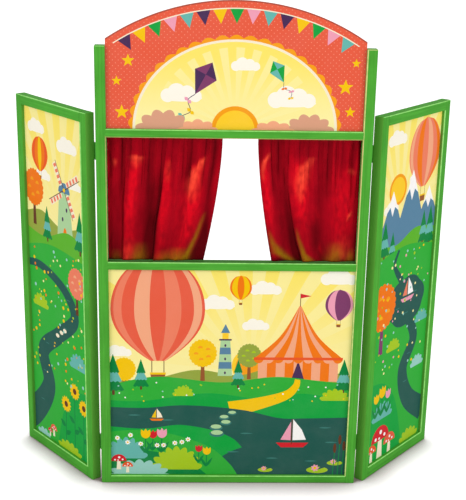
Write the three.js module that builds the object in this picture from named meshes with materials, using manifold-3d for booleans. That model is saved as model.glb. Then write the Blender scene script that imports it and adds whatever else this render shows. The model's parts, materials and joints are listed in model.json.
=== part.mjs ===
// A folding puppet theatre that stands on the floor: a centre frame with an arched header board,
// a stage window with two gathered curtains on a rod, and a wing hinged to each back corner.
// Lengths are in millimetres and angles in degrees, +Z is up, and the audience looks along +Y.
// The origin is on the floor, under the middle of the centre frame's bottom rail.

import * as THREE from "three";
import { mergeVertices } from "three/addons/utils/BufferGeometryUtils.js";
import Module from "manifold-3d";

const wasm = await Module();
wasm.setup();

// Laths: every stile and rail is planed to the same depth and has softened arrises.
const lathDepth = 24;
const stileFace = 22;
const railFace = 18;
const wingStileFace = 23;
const wingHeadFace = 22;
const wingFootFace = 27;
const arrisRadius = 2.5;
const arrisSteps = 3;
const endEase = 1.2;
const endEaseSteps = 2;

// Centre frame, from the floor up: the sill rail's top, the window, and the header above the head rail
const centreWidth = 582;
const sillRailTop = 536;
const windowHeight = 274;
const headerHeldHeight = 172;
const headerShoulder = 14;
const archRise = 81;
const archSteps = 30;

// Wings, and how far each stands turned back from the line of the centre frame
const wingWidth = 283;
const wingHeight = 858;
const leftWingAngle = 51.3;
const rightWingAngle = 49;

// Boards and the grooves that hold them
const boardThickness = 4;
const boardSetBack = 8;
const grooveDepth = 6;

// Stub tenons that join the rails to the stiles
const tenonLength = 12;
const tenonHeight = 9;
const tenonThickness = 6;
const tenonSetBack = 2;
const tenonInset = 3;

// Hinges: leaves on the back faces of the stiles, knuckles behind the gap between them
const hingeGap = 2;
const lowerHingeRise = 92;
const upperHingeDrop = 83;
const hingeHeight = 38;
const leafMargin = 6;
const leafThickness = 1.6;
const leafMeetGap = 0.7;
const barrelRadius = 3.4;
const barrelClearance = 0.6;
const pinRadius = 1.5;
const knuckleCount = 5;
const barrelSides = 16;

// Hinge screws
const screwSpacing = 22;
const screwLength = 14;
const screwTipLength = 3;
const screwShankRadius = 1.3;
const screwHeadRadius = 2.6;
const screwSides = 10;

// Curtain rod, in a rebate behind the head rail's face, and the casings that slide on it
const rodRadius = 3;
const rodSides = 20;
const rodInFromBack = 6;
const rodSocketDepth = 8;
const rebateRoof = 2.5;
const rebateClearance = 1.5;
const casingPlay = 0.6;
const casingWall = 1.4;
const casingSides = 12;

// Curtains: partings are measured from the middle of the window to a curtain's free edge
const leftHeadParting = 25;
const leftFootParting = 63;
const rightHeadParting = 50;
const rightFootParting = 85;
const partingPower = 1.5;
const clothThickness = 2;
const hangClearOfStile = 1;
const hangClearOfSill = 1.4;
const hangInFromBack = 9;
const foldDepth = 6;
const foldsFullShare = 0.62;
const leftFoldCount = 2.4;
const leftRidgeShare = 0.27;
const rightFoldCount = 2.55;
const rightRidgeShare = 0.12;
const gatherDepth = 1.6;
const gatherCount = 8;
const gatherAtFootShare = 0.25;
const clothColumns = 48;
const clothRows = 8;

// Fits: the play of seated pieces, and how far a cutter runs past what it cuts
const fitGap = 0.3;
const cutOverrun = 5;
const mergeTolerance = 1e-4;

// Sizes that follow from those above
const centreOpening = centreWidth - 2 * stileFace;
const wingOpening = wingWidth - 2 * wingStileFace;
const frontFace = -lathDepth / 2;
const backFace = lathDepth / 2;
const boardPlane = frontFace + boardSetBack + boardThickness / 2;
const boardTongue = grooveDepth - fitGap;
const tenonPlane = frontFace + tenonSetBack + tenonThickness / 2;
const sillRailFoot = sillRailTop - railFace;
const headRailFoot = sillRailTop + windowHeight;
const headRailTop = headRailFoot + railFace;
const centreHeight = headRailTop + headerHeldHeight;
const casingBore = rodRadius + casingPlay;
const casingRadius = casingBore + casingWall;
const rebateTop = railFace - grooveDepth - rebateRoof;
const rodPlane = backFace - rodInFromBack;
const rodLevel = headRailFoot + rebateTop - rebateClearance - casingRadius;
const pinStandBack = fitGap + leafThickness + leafMeetGap;
const pivotX = centreWidth / 2 + hingeGap / 2;
const pivotY = backFace + pinStandBack;
const hingeLevels = { upper: wingHeight - upperHingeDrop, lower: lowerHingeRise };

const paint = new THREE.MeshStandardMaterial({ color: 0x4eaf37, roughness: 0.45 });
const hingePaint = new THREE.MeshStandardMaterial({ color: 0x4a9c38, roughness: 0.4, metalness: 0.2 });
const steel = new THREE.MeshStandardMaterial({ color: 0xb8babc, roughness: 0.35, metalness: 1 });
const headerPrint = new THREE.MeshStandardMaterial({ color: 0xe95c3f, roughness: 0.5 });
const frontPrint = new THREE.MeshStandardMaterial({ color: 0x2f9e45, roughness: 0.5 });
const wingPrint = new THREE.MeshStandardMaterial({ color: 0xf7dc6a, roughness: 0.5 });
const satin = new THREE.MeshStandardMaterial({ color: 0xb5061c, roughness: 0.35 });

// Turns a closed three.js geometry into a solid that can be joined and cut.
function toSolid(geometry) {
  const bare = geometry.clone();
  for (const name of Object.keys(bare.attributes)) {
    if (name !== "position") bare.deleteAttribute(name);
  }
  const merged = mergeVertices(bare, mergeTolerance);
  return new wasm.Manifold(
    new wasm.Mesh({
      numProp: 3,
      vertProperties: new Float32Array(merged.getAttribute("position").array),
      triVerts: new Uint32Array(merged.index.array),
    }),
  );
}

function toMesh(name, solid, material) {
  const { vertProperties, triVerts } = solid.getMesh();
  const geometry = new THREE.BufferGeometry();
  geometry.setAttribute("position", new THREE.BufferAttribute(vertProperties, 3));
  geometry.setIndex(new THREE.BufferAttribute(triVerts, 1));
  geometry.computeVertexNormals();
  const mesh = new THREE.Mesh(geometry, material);
  mesh.name = name;
  return mesh;
}

function cut(solid, ...cutters) {
  return cutters.reduce((rest, cutter) => rest.subtract(toSolid(cutter)), solid);
}

function join(...geometries) {
  return geometries.map(toSolid).reduce((whole, piece) => whole.add(piece));
}

// A block between two places on each axis, given in either order.
function block([xa, xb], [ya, yb], [za, zb]) {
  const geometry = new THREE.BoxGeometry(Math.abs(xb - xa), Math.abs(yb - ya), Math.abs(zb - za));
  return geometry.translate((xa + xb) / 2, (ya + yb) / 2, (za + zb) / 2);
}

function between(middle, size) {
  return [middle - size / 2, middle + size / 2];
}

// A turned piece about the Y axis. Its profile runs [radius, y] and closes on itself or on the axis.
function turned(profile, sides) {
  const points = profile.map(([radius, y]) => new THREE.Vector2(radius, y));
  return new THREE.LatheGeometry(points, sides);
}

function sleeve(bore, radius, half, sides) {
  const profile = [
    [bore, -half],
    [radius, -half],
    [radius, half],
    [bore, half],
    [bore, -half],
  ];
  return turned(profile, sides);
}

// A drill of one radius about the Y axis, from its bottom at -depth to past its mouth.
function drill(radius, depth, sides) {
  const profile = [
    [0, -depth],
    [radius, -depth],
    [radius, cutOverrun],
    [0, cutOverrun],
  ];
  return turned(profile, sides);
}

// A lath's section: a rectangle with its four arrises rounded. Growth makes it a cutter for a fit.
function lathSection(face, growth = 0) {
  const section = new THREE.Shape();
  const cornerX = face / 2 - arrisRadius;
  const cornerY = lathDepth / 2 - arrisRadius;
  const radius = arrisRadius + growth;
  section.absarc(cornerX, cornerY, radius, 0, Math.PI / 2);
  section.absarc(-cornerX, cornerY, radius, Math.PI / 2, Math.PI);
  section.absarc(-cornerX, -cornerY, radius, Math.PI, (3 * Math.PI) / 2);
  section.absarc(cornerX, -cornerY, radius, (3 * Math.PI) / 2, 2 * Math.PI);
  section.closePath();
  return section;
}

// A stile stands on its eased foot. Grooves and mortises open on the side that faces the board.
function stileSolid({ face, height, boardSide, grooves, tenonFeet }) {
  const geometry = new THREE.ExtrudeGeometry(lathSection(face), {
    depth: height - 2 * endEase,
    curveSegments: arrisSteps,
    bevelThickness: endEase,
    bevelSize: endEase,
    bevelOffset: -endEase,
    bevelSegments: endEaseSteps,
  });
  geometry.translate(0, 0, endEase);
  const edge = (boardSide * face) / 2;
  const outside = edge + boardSide * cutOverrun;
  const grooveX = [edge - boardSide * grooveDepth, outside];
  const grooveY = between(boardPlane, boardThickness + 2 * fitGap);
  const mortiseX = [edge - boardSide * (tenonLength + fitGap), outside];
  const mortiseY = between(tenonPlane, tenonThickness + 2 * fitGap);
  const grooveCuts = grooves.map((levels) => block(grooveX, grooveY, levels));
  const mortiseCuts = tenonFeet.map((foot) => {
    return block(mortiseX, mortiseY, [foot - fitGap, foot + tenonHeight + fitGap]);
  });
  return cut(toSolid(geometry), ...grooveCuts, ...mortiseCuts);
}

// Height of a tenon's underside above its rail's underside, clear of the board's groove.
function tenonFootIn(face, groovedSide) {
  return groovedSide === "top" ? tenonInset : face - tenonInset - tenonHeight;
}

// A rail lies along X on its underside, with a stub tenon at each end. Its shoulders are scribed
// over the stiles' rounded arrises, so that the faces meet flush.
function railSolid({ opening, face, stile, groovedSide }) {
  const length = opening + 2 * arrisRadius;
  const geometry = new THREE.ExtrudeGeometry(lathSection(face), {
    depth: length,
    curveSegments: arrisSteps,
    bevelEnabled: false,
  });
  geometry.rotateY(Math.PI / 2);
  geometry.translate(-length / 2, 0, face / 2);
  const scribes = [-1, 1].map((side) => {
    const scribe = new THREE.ExtrudeGeometry(lathSection(stile, fitGap), {
      depth: face + 2 * cutOverrun,
      curveSegments: arrisSteps,
      bevelEnabled: false,
    });
    return scribe.translate((side * (opening + stile)) / 2, 0, -cutOverrun);
  });
  const foot = tenonFootIn(face, groovedSide);
  const tenons = block(
    between(0, opening + 2 * tenonLength),
    between(tenonPlane, tenonThickness),
    [foot, foot + tenonHeight],
  );
  const grooveZ = groovedSide === "top"
    ? [face - grooveDepth, face + cutOverrun]
    : [-cutOverrun, grooveDepth];
  const groove = block(
    between(0, opening + 2 * cutOverrun),
    between(boardPlane, boardThickness + 2 * fitGap),
    grooveZ,
  );
  return cut(cut(toSolid(geometry), ...scribes).add(toSolid(tenons)), groove);
}

// A flat board, drawn as [x, z] outline and cut from sheet, with its middle on the board plane.
function boardSolid(outline) {
  const geometry = new THREE.ExtrudeGeometry(outline, {
    depth: boardThickness,
    curveSegments: archSteps,
    bevelEnabled: false,
  });
  geometry.rotateX(Math.PI / 2);
  geometry.translate(0, boardPlane + boardThickness / 2, 0);
  return toSolid(geometry);
}

function rectangle(width, low, high) {
  const outline = new THREE.Shape();
  outline.moveTo(-width / 2, low);
  outline.lineTo(width / 2, low);
  outline.lineTo(width / 2, high);
  outline.lineTo(-width / 2, high);
  outline.closePath();
  return outline;
}

// The header board is held in the stiles' grooves up to their tops, and arches above them.
function headerOutline() {
  const heldHalf = centreOpening / 2 + boardTongue;
  const freeHalf = centreOpening / 2 - fitGap;
  const archRadius = (freeHalf ** 2 + archRise ** 2) / (2 * archRise);
  const archCentre = centreHeight + headerShoulder + archRise - archRadius;
  const halfSweep = Math.asin(freeHalf / archRadius);
  const outline = new THREE.Shape();
  outline.moveTo(-heldHalf, headRailTop - boardTongue);
  outline.lineTo(heldHalf, headRailTop - boardTongue);
  outline.lineTo(heldHalf, centreHeight);
  outline.lineTo(freeHalf, centreHeight);
  outline.absarc(0, archCentre, archRadius, Math.PI / 2 - halfSweep, Math.PI / 2 + halfSweep);
  outline.lineTo(-freeHalf, centreHeight);
  outline.lineTo(-heldHalf, centreHeight);
  outline.closePath();
  return outline;
}

const centreRail = { opening: centreOpening, face: railFace, stile: stileFace };

// The head rail is rebated along its back, where the curtain rod and the casings lie.
function headRailSolid() {
  const rebate = block(
    between(0, centreOpening + 2 * tenonLength + 2 * cutOverrun),
    [rodPlane - casingRadius - rebateClearance, backFace + cutOverrun],
    [-cutOverrun, rebateTop],
  );
  return cut(railSolid({ ...centreRail, groovedSide: "top" }), rebate);
}

// A curtain hangs from a casing on the rod, with its outer edge beside the stile on its side.
// Small gathers under the casing run together into the deep folds at the hem.
function curtainSolid({ side, headParting, footParting, folds, ridgeShare }) {
  const reach = centreOpening / 2 - hangClearOfStile;
  const headWidth = reach - headParting;
  const footWidth = reach - footParting;
  const casing = sleeve(casingBore, casingRadius, headWidth / 2, casingSides)
    .rotateZ(Math.PI / 2)
    .translate(side * (reach - headWidth / 2), rodPlane, rodLevel);

  const clothTop = rodLevel - casingBore - casingWall / 2;
  const hem = sillRailTop + hangClearOfSill;
  const hangPlane = backFace - hangInFromBack;
  const clothPoint = (across, down, skin) => {
    const width = THREE.MathUtils.lerp(headWidth, footWidth, down ** partingPower);
    const fullness = THREE.MathUtils.smoothstep(down, 0, foldsFullShare);
    const fold = -foldDepth * fullness * Math.cos(2 * Math.PI * folds * (across - ridgeShare));
    const gatherEase = Math.min(1, down * clothRows) * THREE.MathUtils.lerp(1, gatherAtFootShare, down);
    const gather = gatherDepth * gatherEase * Math.sin(2 * Math.PI * gatherCount * across);
    return [
      side * (reach - width * across),
      THREE.MathUtils.lerp(rodPlane, hangPlane, fullness) + fold + gather + (skin * clothThickness) / 2,
      THREE.MathUtils.lerp(clothTop, hem, down),
    ];
  };
  return join(clothGeometry(clothPoint, side), casing);
}

// A closed cloth with a front skin (-1) and a back skin (+1), from a function that places its points.
function clothGeometry(pointAt, side) {
  const places = [];
  for (const skin of [-1, 1]) {
    for (let row = 0; row <= clothRows; row += 1) {
      for (let column = 0; column <= clothColumns; column += 1) {
        places.push(...pointAt(column / clothColumns, row / clothRows, skin));
      }
    }
  }
  const skinSize = (clothRows + 1) * (clothColumns + 1);
  const at = (skin, row, column) => skin * skinSize + row * (clothColumns + 1) + column;
  const faces = [];
  const quad = (a, b, c, d) => {
    faces.push(...(side > 0 ? [a, b, c, a, c, d] : [a, c, b, a, d, c]));
  };
  for (let row = 0; row < clothRows; row += 1) {
    for (let column = 0; column < clothColumns; column += 1) {
      quad(at(0, row, column), at(0, row, column + 1), at(0, row + 1, column + 1), at(0, row + 1, column));
      quad(at(1, row, column), at(1, row + 1, column), at(1, row + 1, column + 1), at(1, row, column + 1));
    }
    const last = clothColumns;
    quad(at(0, row, 0), at(0, row + 1, 0), at(1, row + 1, 0), at(1, row, 0));
    quad(at(0, row, last), at(1, row, last), at(1, row + 1, last), at(0, row + 1, last));
  }
  for (let column = 0; column < clothColumns; column += 1) {
    const last = clothRows;
    quad(at(0, 0, column), at(1, 0, column), at(1, 0, column + 1), at(0, 0, column + 1));
    quad(at(0, last, column), at(0, last, column + 1), at(1, last, column + 1), at(1, last, column));
  }
  const geometry = new THREE.BufferGeometry();
  geometry.setAttribute("position", new THREE.Float32BufferAttribute(places, 3));
  geometry.setIndex(faces);
  return geometry;
}

// Hinge pieces are drawn about the pin: Z along the pin, +Y to the back, the leaf towards side * X.
const leafStart = barrelRadius + barrelClearance;
const leafWidth = stileFace - leafMargin;
const leafFront = fitGap - pinStandBack;
const leafBack = leafFront + leafThickness;
const screwX = leafStart + leafWidth / 2;
const screwRows = [-screwSpacing / 2, screwSpacing / 2];

// A countersunk screw about the Y axis, its head's top at 0. Growth turns it into its own hole.
function screw(growth) {
  const shank = screwShankRadius + growth;
  const profile = [
    [0, -screwLength - growth],
    [shank, -screwLength - growth + screwTipLength],
    [shank, -leafThickness + fitGap - growth],
    [screwHeadRadius + growth, 0],
    [0, 0],
  ];
  return turned(profile, screwSides);
}

function leafSolid({ side, knuckles }) {
  const bore = pinRadius + fitGap;
  const knuckleHeight = hingeHeight / knuckleCount;
  const leafY = [leafFront, leafBack];
  const plate = block([side * leafStart, side * (leafStart + leafWidth)], leafY, between(0, hingeHeight));
  const pieces = [plate];
  for (const knuckle of knuckles) {
    const level = (knuckle + 1 / 2) * knuckleHeight - hingeHeight / 2;
    const solidHeight = knuckleHeight - fitGap;
    const barrel = sleeve(bore, barrelRadius, solidHeight / 2, barrelSides).rotateX(Math.PI / 2);
    const tabX = [(side * (bore + barrelRadius)) / 2, side * (leafStart + leafThickness)];
    pieces.push(barrel.translate(0, 0, level));
    pieces.push(block(tabX, leafY, between(level, solidHeight)));
  }
  const holes = screwRows.flatMap((row) => [
    screw(fitGap).translate(side * screwX, leafBack, row),
    drill(screwHeadRadius + fitGap, 0, screwSides).translate(side * screwX, leafBack, row),
  ]);
  return cut(join(...pieces), ...holes);
}

// Bores for the hinge screws, drilled into a stile from its back face, at the same distance from
// the hinged edge of a narrow centre stile and of a wider wing stile.
function boredForHinges({ stile, face, hingedSide }) {
  const boreX = hingedSide * (face / 2 + hingeGap / 2 - screwX);
  const bores = Object.values(hingeLevels).flatMap((level) => {
    return screwRows.map((row) => {
      const bore = drill(screwShankRadius + fitGap, screwLength - leafThickness, screwSides);
      return bore.translate(boreX, backFace, level + row);
    });
  });
  return cut(stile, ...bores);
}

// Adds both hinges of one side: the frame's leaves and the pins to the frame, the others to the wing.
function addHinges({ name, side, frame, wing }) {
  const knuckles = Array.from({ length: knuckleCount }, (_, index) => index);
  const frameKnuckles = knuckles.filter((knuckle) => knuckle % 2 === 0);
  const wingKnuckles = knuckles.filter((knuckle) => knuckle % 2 === 1);
  for (const [levelName, level] of Object.entries(hingeLevels)) {
    const hinge = name + "_" + levelName + "_hinge";
    const add = (group, pieceName, solid, material, x, y, z) => {
      const mesh = toMesh(hinge + "_" + pieceName, solid, material);
      mesh.position.set(x, y, z);
      group.add(mesh);
    };
    const pinX = side * pivotX;
    const frameLeaf = leafSolid({ side: -side, knuckles: frameKnuckles });
    const wingLeaf = leafSolid({ side, knuckles: wingKnuckles });
    const pinGeometry = new THREE.CylinderGeometry(pinRadius, pinRadius, hingeHeight, barrelSides);
    const pin = toSolid(pinGeometry.rotateX(Math.PI / 2));
    add(frame, "frame_leaf", frameLeaf, hingePaint, pinX, pivotY, level);
    add(frame, "pin", pin, hingePaint, pinX, pivotY, level);
    add(wing, "wing_leaf", wingLeaf, hingePaint, 0, 0, level);
    screwRows.forEach((row, index) => {
      const end = index === 0 ? "low" : "high";
      const frameX = pinX - side * screwX;
      add(frame, "frame_screw_" + end, toSolid(screw(0)), steel, frameX, pivotY + leafBack, level + row);
      add(wing, "wing_screw_" + end, toSolid(screw(0)), steel, side * screwX, leafBack, level + row);
    });
  }
}

function centreFrame() {
  const group = new THREE.Group();
  const place = (name, solid, material, x, y, z) => {
    const mesh = toMesh(name, solid, material);
    mesh.position.set(x, y, z);
    group.add(mesh);
  };
  const lowGroove = [railFace - grooveDepth, sillRailFoot + grooveDepth];
  const highGroove = [headRailTop - grooveDepth, centreHeight + cutOverrun];
  const tenonFeet = [
    tenonFootIn(railFace, "top"),
    sillRailFoot + tenonFootIn(railFace, "bottom"),
    headRailFoot + tenonFootIn(railFace, "top"),
  ];
  for (const [name, side] of [["left", -1], ["right", 1]]) {
    const stile = stileSolid({
      face: stileFace,
      height: centreHeight,
      boardSide: -side,
      grooves: [lowGroove, highGroove],
      tenonFeet,
    });
    const socket = drill(rodRadius + fitGap, rodSocketDepth, rodSides)
      .rotateZ((side * Math.PI) / 2)
      .translate((-side * stileFace) / 2, rodPlane, rodLevel);
    const drilled = boredForHinges({ stile: cut(stile, socket), face: stileFace, hingedSide: side });
    place("centre_" + name + "_stile", drilled, paint, (side * (centreWidth - stileFace)) / 2, 0, 0);
  }
  const bottomRail = railSolid({ ...centreRail, groovedSide: "top" });
  const sillRail = railSolid({ ...centreRail, groovedSide: "bottom" });
  place("bottom_rail", bottomRail, paint, 0, 0, 0);
  place("sill_rail", sillRail, paint, 0, 0, sillRailFoot);
  place("head_rail", headRailSolid(), paint, 0, 0, headRailFoot);

  const heldWidth = centreOpening + 2 * boardTongue;
  const frontOutline = rectangle(heldWidth, railFace - boardTongue, sillRailFoot + boardTongue);
  place("front_board", boardSolid(frontOutline), frontPrint, 0, 0, 0);
  place("header_board", boardSolid(headerOutline()), headerPrint, 0, 0, 0);

  const rodLength = centreOpening + 2 * (rodSocketDepth - fitGap);
  const rodGeometry = new THREE.CylinderGeometry(rodRadius, rodRadius, rodLength, rodSides);
  const rod = toSolid(rodGeometry.rotateZ(Math.PI / 2));
  place("curtain_rod", rod, steel, 0, rodPlane, rodLevel);
  return group;
}

function curtains() {
  const group = new THREE.Group();
  const left = curtainSolid({
    side: -1,
    headParting: leftHeadParting,
    footParting: leftFootParting,
    folds: leftFoldCount,
    ridgeShare: leftRidgeShare,
  });
  const right = curtainSolid({
    side: 1,
    headParting: rightHeadParting,
    footParting: rightFootParting,
    folds: rightFoldCount,
    ridgeShare: rightRidgeShare,
  });
  group.add(toMesh("left_curtain", left, satin));
  group.add(toMesh("right_curtain", right, satin));
  return group;
}

// A wing is drawn in line with the centre frame, about its hinges' axis, and then turned back.
function wingFrame({ name, side, turn }) {
  const group = new THREE.Group();
  const place = (pieceName, solid, material, x, z) => {
    const mesh = toMesh(name + "_wing_" + pieceName, solid, material);
    mesh.position.set(side * x, -pivotY, z);
    group.add(mesh);
  };
  const innerEdge = hingeGap / 2;
  const middle = innerEdge + wingWidth / 2;
  const topRailFoot = wingHeight - wingHeadFace;
  const grooves = [[wingFootFace - grooveDepth, topRailFoot + grooveDepth]];
  const tenonFeet = [
    tenonFootIn(wingFootFace, "top"),
    topRailFoot + tenonFootIn(wingHeadFace, "bottom"),
  ];
  const stileSizes = { face: wingStileFace, height: wingHeight, grooves, tenonFeet };
  const plainStile = stileSolid({ ...stileSizes, boardSide: side });
  const innerStile = boredForHinges({ stile: plainStile, face: wingStileFace, hingedSide: -side });
  const outerStile = stileSolid({ ...stileSizes, boardSide: -side });
  const railSizes = { opening: wingOpening, stile: wingStileFace };
  const bottomRail = railSolid({ ...railSizes, face: wingFootFace, groovedSide: "top" });
  const topRail = railSolid({ ...railSizes, face: wingHeadFace, groovedSide: "bottom" });
  const heldWidth = wingOpening + 2 * boardTongue;
  const outline = rectangle(heldWidth, wingFootFace - boardTongue, topRailFoot + boardTongue);
  place("inner_stile", innerStile, paint, innerEdge + wingStileFace / 2, 0);
  place("outer_stile", outerStile, paint, innerEdge + wingWidth - wingStileFace / 2, 0);
  place("bottom_rail", bottomRail, paint, middle, 0);
  place("top_rail", topRail, paint, middle, topRailFoot);
  place("board", boardSolid(outline), wingPrint, middle, 0);
  group.position.set(side * pivotX, pivotY, 0);
  group.rotation.z = side * THREE.MathUtils.degToRad(turn);
  return group;
}

const theatre = new THREE.Group();
const frame = centreFrame();
theatre.add(frame, curtains());
for (const [name, side, turn] of [["left", -1, leftWingAngle], ["right", 1, rightWingAngle]]) {
  const wing = wingFrame({ name, side, turn });
  addHinges({ name, side, frame, wing });
  theatre.add(wing);
}

export default theatre;
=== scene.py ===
import json
import math
import random

import bpy
import numpy as np
from mathutils import Matrix, Vector, noise
from mathutils.geometry import delaunay_2d_cdt

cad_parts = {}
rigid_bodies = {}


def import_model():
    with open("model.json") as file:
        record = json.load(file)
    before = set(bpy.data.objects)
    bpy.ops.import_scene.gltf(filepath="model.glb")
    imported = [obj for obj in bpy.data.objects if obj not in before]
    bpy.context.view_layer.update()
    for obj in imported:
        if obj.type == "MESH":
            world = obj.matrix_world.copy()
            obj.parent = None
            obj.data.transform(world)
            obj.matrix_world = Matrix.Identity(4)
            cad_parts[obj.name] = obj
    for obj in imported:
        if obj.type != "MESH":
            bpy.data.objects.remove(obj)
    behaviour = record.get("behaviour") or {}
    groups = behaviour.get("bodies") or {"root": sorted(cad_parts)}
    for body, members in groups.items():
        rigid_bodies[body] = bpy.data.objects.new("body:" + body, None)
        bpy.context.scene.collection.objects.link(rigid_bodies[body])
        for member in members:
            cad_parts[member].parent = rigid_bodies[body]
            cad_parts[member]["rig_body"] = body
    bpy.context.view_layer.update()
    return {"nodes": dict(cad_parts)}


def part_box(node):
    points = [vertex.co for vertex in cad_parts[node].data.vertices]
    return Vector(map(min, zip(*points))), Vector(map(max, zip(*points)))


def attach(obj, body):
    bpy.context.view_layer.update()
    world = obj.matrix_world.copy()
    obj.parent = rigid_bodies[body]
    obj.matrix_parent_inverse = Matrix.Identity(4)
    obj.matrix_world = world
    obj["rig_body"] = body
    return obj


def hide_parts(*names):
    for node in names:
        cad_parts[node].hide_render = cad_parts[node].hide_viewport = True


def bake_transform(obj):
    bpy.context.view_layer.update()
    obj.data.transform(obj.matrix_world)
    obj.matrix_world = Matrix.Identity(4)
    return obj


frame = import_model()

# Laths. The stiles and rails are planed softwood with rounded arrises, tenoned together and
# sprayed with a satin leaf-green enamel, and the wood's grain runs faintly under it along each lath.
# Light and shade are painted into the green as well: a pale painted highlight on the upward-front
# arrises, round the window and down one arris of a few stiles, and painted shade in olive on the
# side faces and in a darker green on the tops, darkest on the sill's top.
LATH_GREEN = "#55B13C"
LATH_GREEN_DEEP = "#499E33"
SIDE_SHADE_GREEN = "#63A73F"
TOP_SHADE_GREEN = "#4AA42F"
SILL_TOP_SHADE_GREEN = "#356C25"
ARRIS_HIGHLIGHT_GREEN = "#A6F286"
ARRIS_HIGHLIGHT_CREAM = "#E4EC98"
WINDOW_HIGHLIGHT_WOOD = "#DCC080"
WINDOW_HIGHLIGHT_SHARE = 0.8
LATH_ROUGHNESS = 0.55
LATH_SHINE = 0.03
GRAIN_ACROSS = 260
GRAIN_ALONG = 7
WINDOW_FOOT = (0.535, 0.545)
WINDOW_HEAD = (0.816, 0.812)
ARRIS_HIGHLIGHT_STRIPS = {"left_wing_inner_stile": 0.0052, "centre_right_stile": 0.0019, "right_wing_outer_stile": 0.0024}
ARRIS_HIGHLIGHT_STRIP_FADE = 0.001
MAX_SMOOTH_ANGLE = math.radians(35)


def colour(code):
    """A #RRGGBB colour as the linear red, green, blue and alpha that Blender works in."""
    channels = [int(code[i:i + 2], 16) / 255 for i in (1, 3, 5)]
    linear = [c / 12.92 if c <= 0.04045 else ((c + 0.055) / 1.055) ** 2.4 for c in channels]
    return (*linear, 1)


class Value:
    """A node's output, which can be reckoned with as a number can. Its id_data is the node's tree."""

    def __init__(self, socket):
        self.socket = socket
        self.id_data = socket.id_data

    def __add__(self, other):
        return maths("ADD", self, other)

    def __sub__(self, other):
        return maths("SUBTRACT", self, other)

    def __mul__(self, other):
        return maths("MULTIPLY", self, other)

    def __truediv__(self, other):
        return maths("DIVIDE", self, other)


def feed(socket, value):
    """Sets a socket to a constant, or links a node's output to it."""
    value = getattr(value, "socket", value)
    if isinstance(value, bpy.types.NodeSocket):
        socket.id_data.links.new(value, socket)
    elif value is not None:
        socket.default_value = value


def put(tree, kind, *inputs, **settings):
    """A new node with its settings and its first inputs, each a constant or another node's output."""
    made = tree.nodes.new(kind)
    for name, value in settings.items():
        setattr(made, name, value)
    for socket, value in zip(made.inputs, inputs):
        feed(socket, value)
    return made


def maths(operation, first, *others):
    return Value(put(first.id_data, "ShaderNodeMath", first, *others, operation=operation).outputs[0])


def between(value, low, high, low_out=0.0, high_out=1.0):
    """A value brought from low..high to low_out..high_out, with a smooth start and end."""
    return Value(put(value.id_data, "ShaderNodeMapRange", value, low, high, low_out, high_out,
                     interpolation_type="SMOOTHSTEP").outputs[0])


def mixed(share, first, second):
    """Two colours mixed, with the second's share."""
    made = put(share.id_data, "ShaderNodeMix", data_type="RGBA")
    for index, value in ((0, share), (6, first), (7, second)):
        feed(made.inputs[index], value)
    return Value(made.outputs[2])


def speckle(place, scale, detail=2.0, roughness=0.5):
    """Soft noise between zero and one."""
    return Value(put(place.id_data, "ShaderNodeTexNoise", place, None, scale, detail, roughness).outputs[0])


def stretched(place, scales):
    """A place scaled along each axis, for marks that are longer one way than another."""
    return Value(put(place.id_data, "ShaderNodeVectorMath", place, scales, operation="MULTIPLY").outputs[0])


def whereabouts(tree):
    """A point's place in metres, in the shared frame at rest."""
    return Value(put(tree, "ShaderNodeTexCoord").outputs["Object"])


def parts(vector):
    """The x, y and z of a vector."""
    return [Value(socket) for socket in put(vector.id_data, "ShaderNodeSeparateXYZ", vector).outputs]


def bump(height, strength, depth):
    """A normal tilted by a height, which is up to some depth in metres."""
    made = put(height.id_data, "ShaderNodeBump")
    for name, value in (("Strength", strength), ("Distance", depth), ("Height", height)):
        feed(made.inputs[name], value)
    return Value(made.outputs[0])


def effect(name, inputs, *more):
    """An empty node group that takes {name: default} and gives a colour, a roughness and a normal.

    More holds any further outputs, as (name, type).
    """
    kinds = {1: "Float", 3: "Vector", 4: "Color"}
    tree = bpy.data.node_groups.new(name, "ShaderNodeTree")
    for socket, value in inputs.items():
        kind = "NodeSocket" + kinds[np.size(value)]
        tree.interface.new_socket(socket, in_out="INPUT", socket_type=kind).default_value = value
    for socket, kind in (("Colour", "Color"), ("Roughness", "Float"), ("Normal", "Vector"), *more):
        tree.interface.new_socket(socket, in_out="OUTPUT", socket_type="NodeSocket" + kind)
    given = {socket.name: Value(socket) for socket in put(tree, "NodeGroupInput").outputs}
    return tree, given, put(tree, "NodeGroupOutput").inputs


def finish_of(name, group, values, **shader):
    """A material whose look comes from an effect group, with the shader's own constants."""
    material = bpy.data.materials.new(name)
    material.use_nodes = True
    tree = material.node_tree
    principled = tree.nodes["Principled BSDF"]
    for socket, value in shader.items():
        principled.inputs[socket.replace("_", " ")].default_value = value
    placed = put(tree, "ShaderNodeGroup", node_tree=group)
    for socket, value in values.items():
        placed.inputs[socket].default_value = value
    for output, socket in (("Colour", "Base Color"), ("Roughness", "Roughness"), ("Normal", "Normal")):
        feed(principled.inputs[socket], placed.outputs[output])
    return material


def in_lath(turn):
    """Where a point is, and which way it faces, as if its wing stood in line with the centre frame."""
    tree = turn.id_data
    facing = put(tree, "ShaderNodeNewGeometry").outputs["True Normal"]
    facing = put(tree, "ShaderNodeVectorTransform", facing, vector_type="NORMAL",
                 convert_from="WORLD", convert_to="OBJECT").outputs[0]
    back = turn * -1
    lined = []
    for vector in (whereabouts(tree), facing):
        made = put(tree, "ShaderNodeVectorRotate", vector, rotation_type="Z_AXIS")
        feed(made.inputs["Angle"], back)
        lined.append(Value(made.outputs[0]))
    return lined


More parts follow.
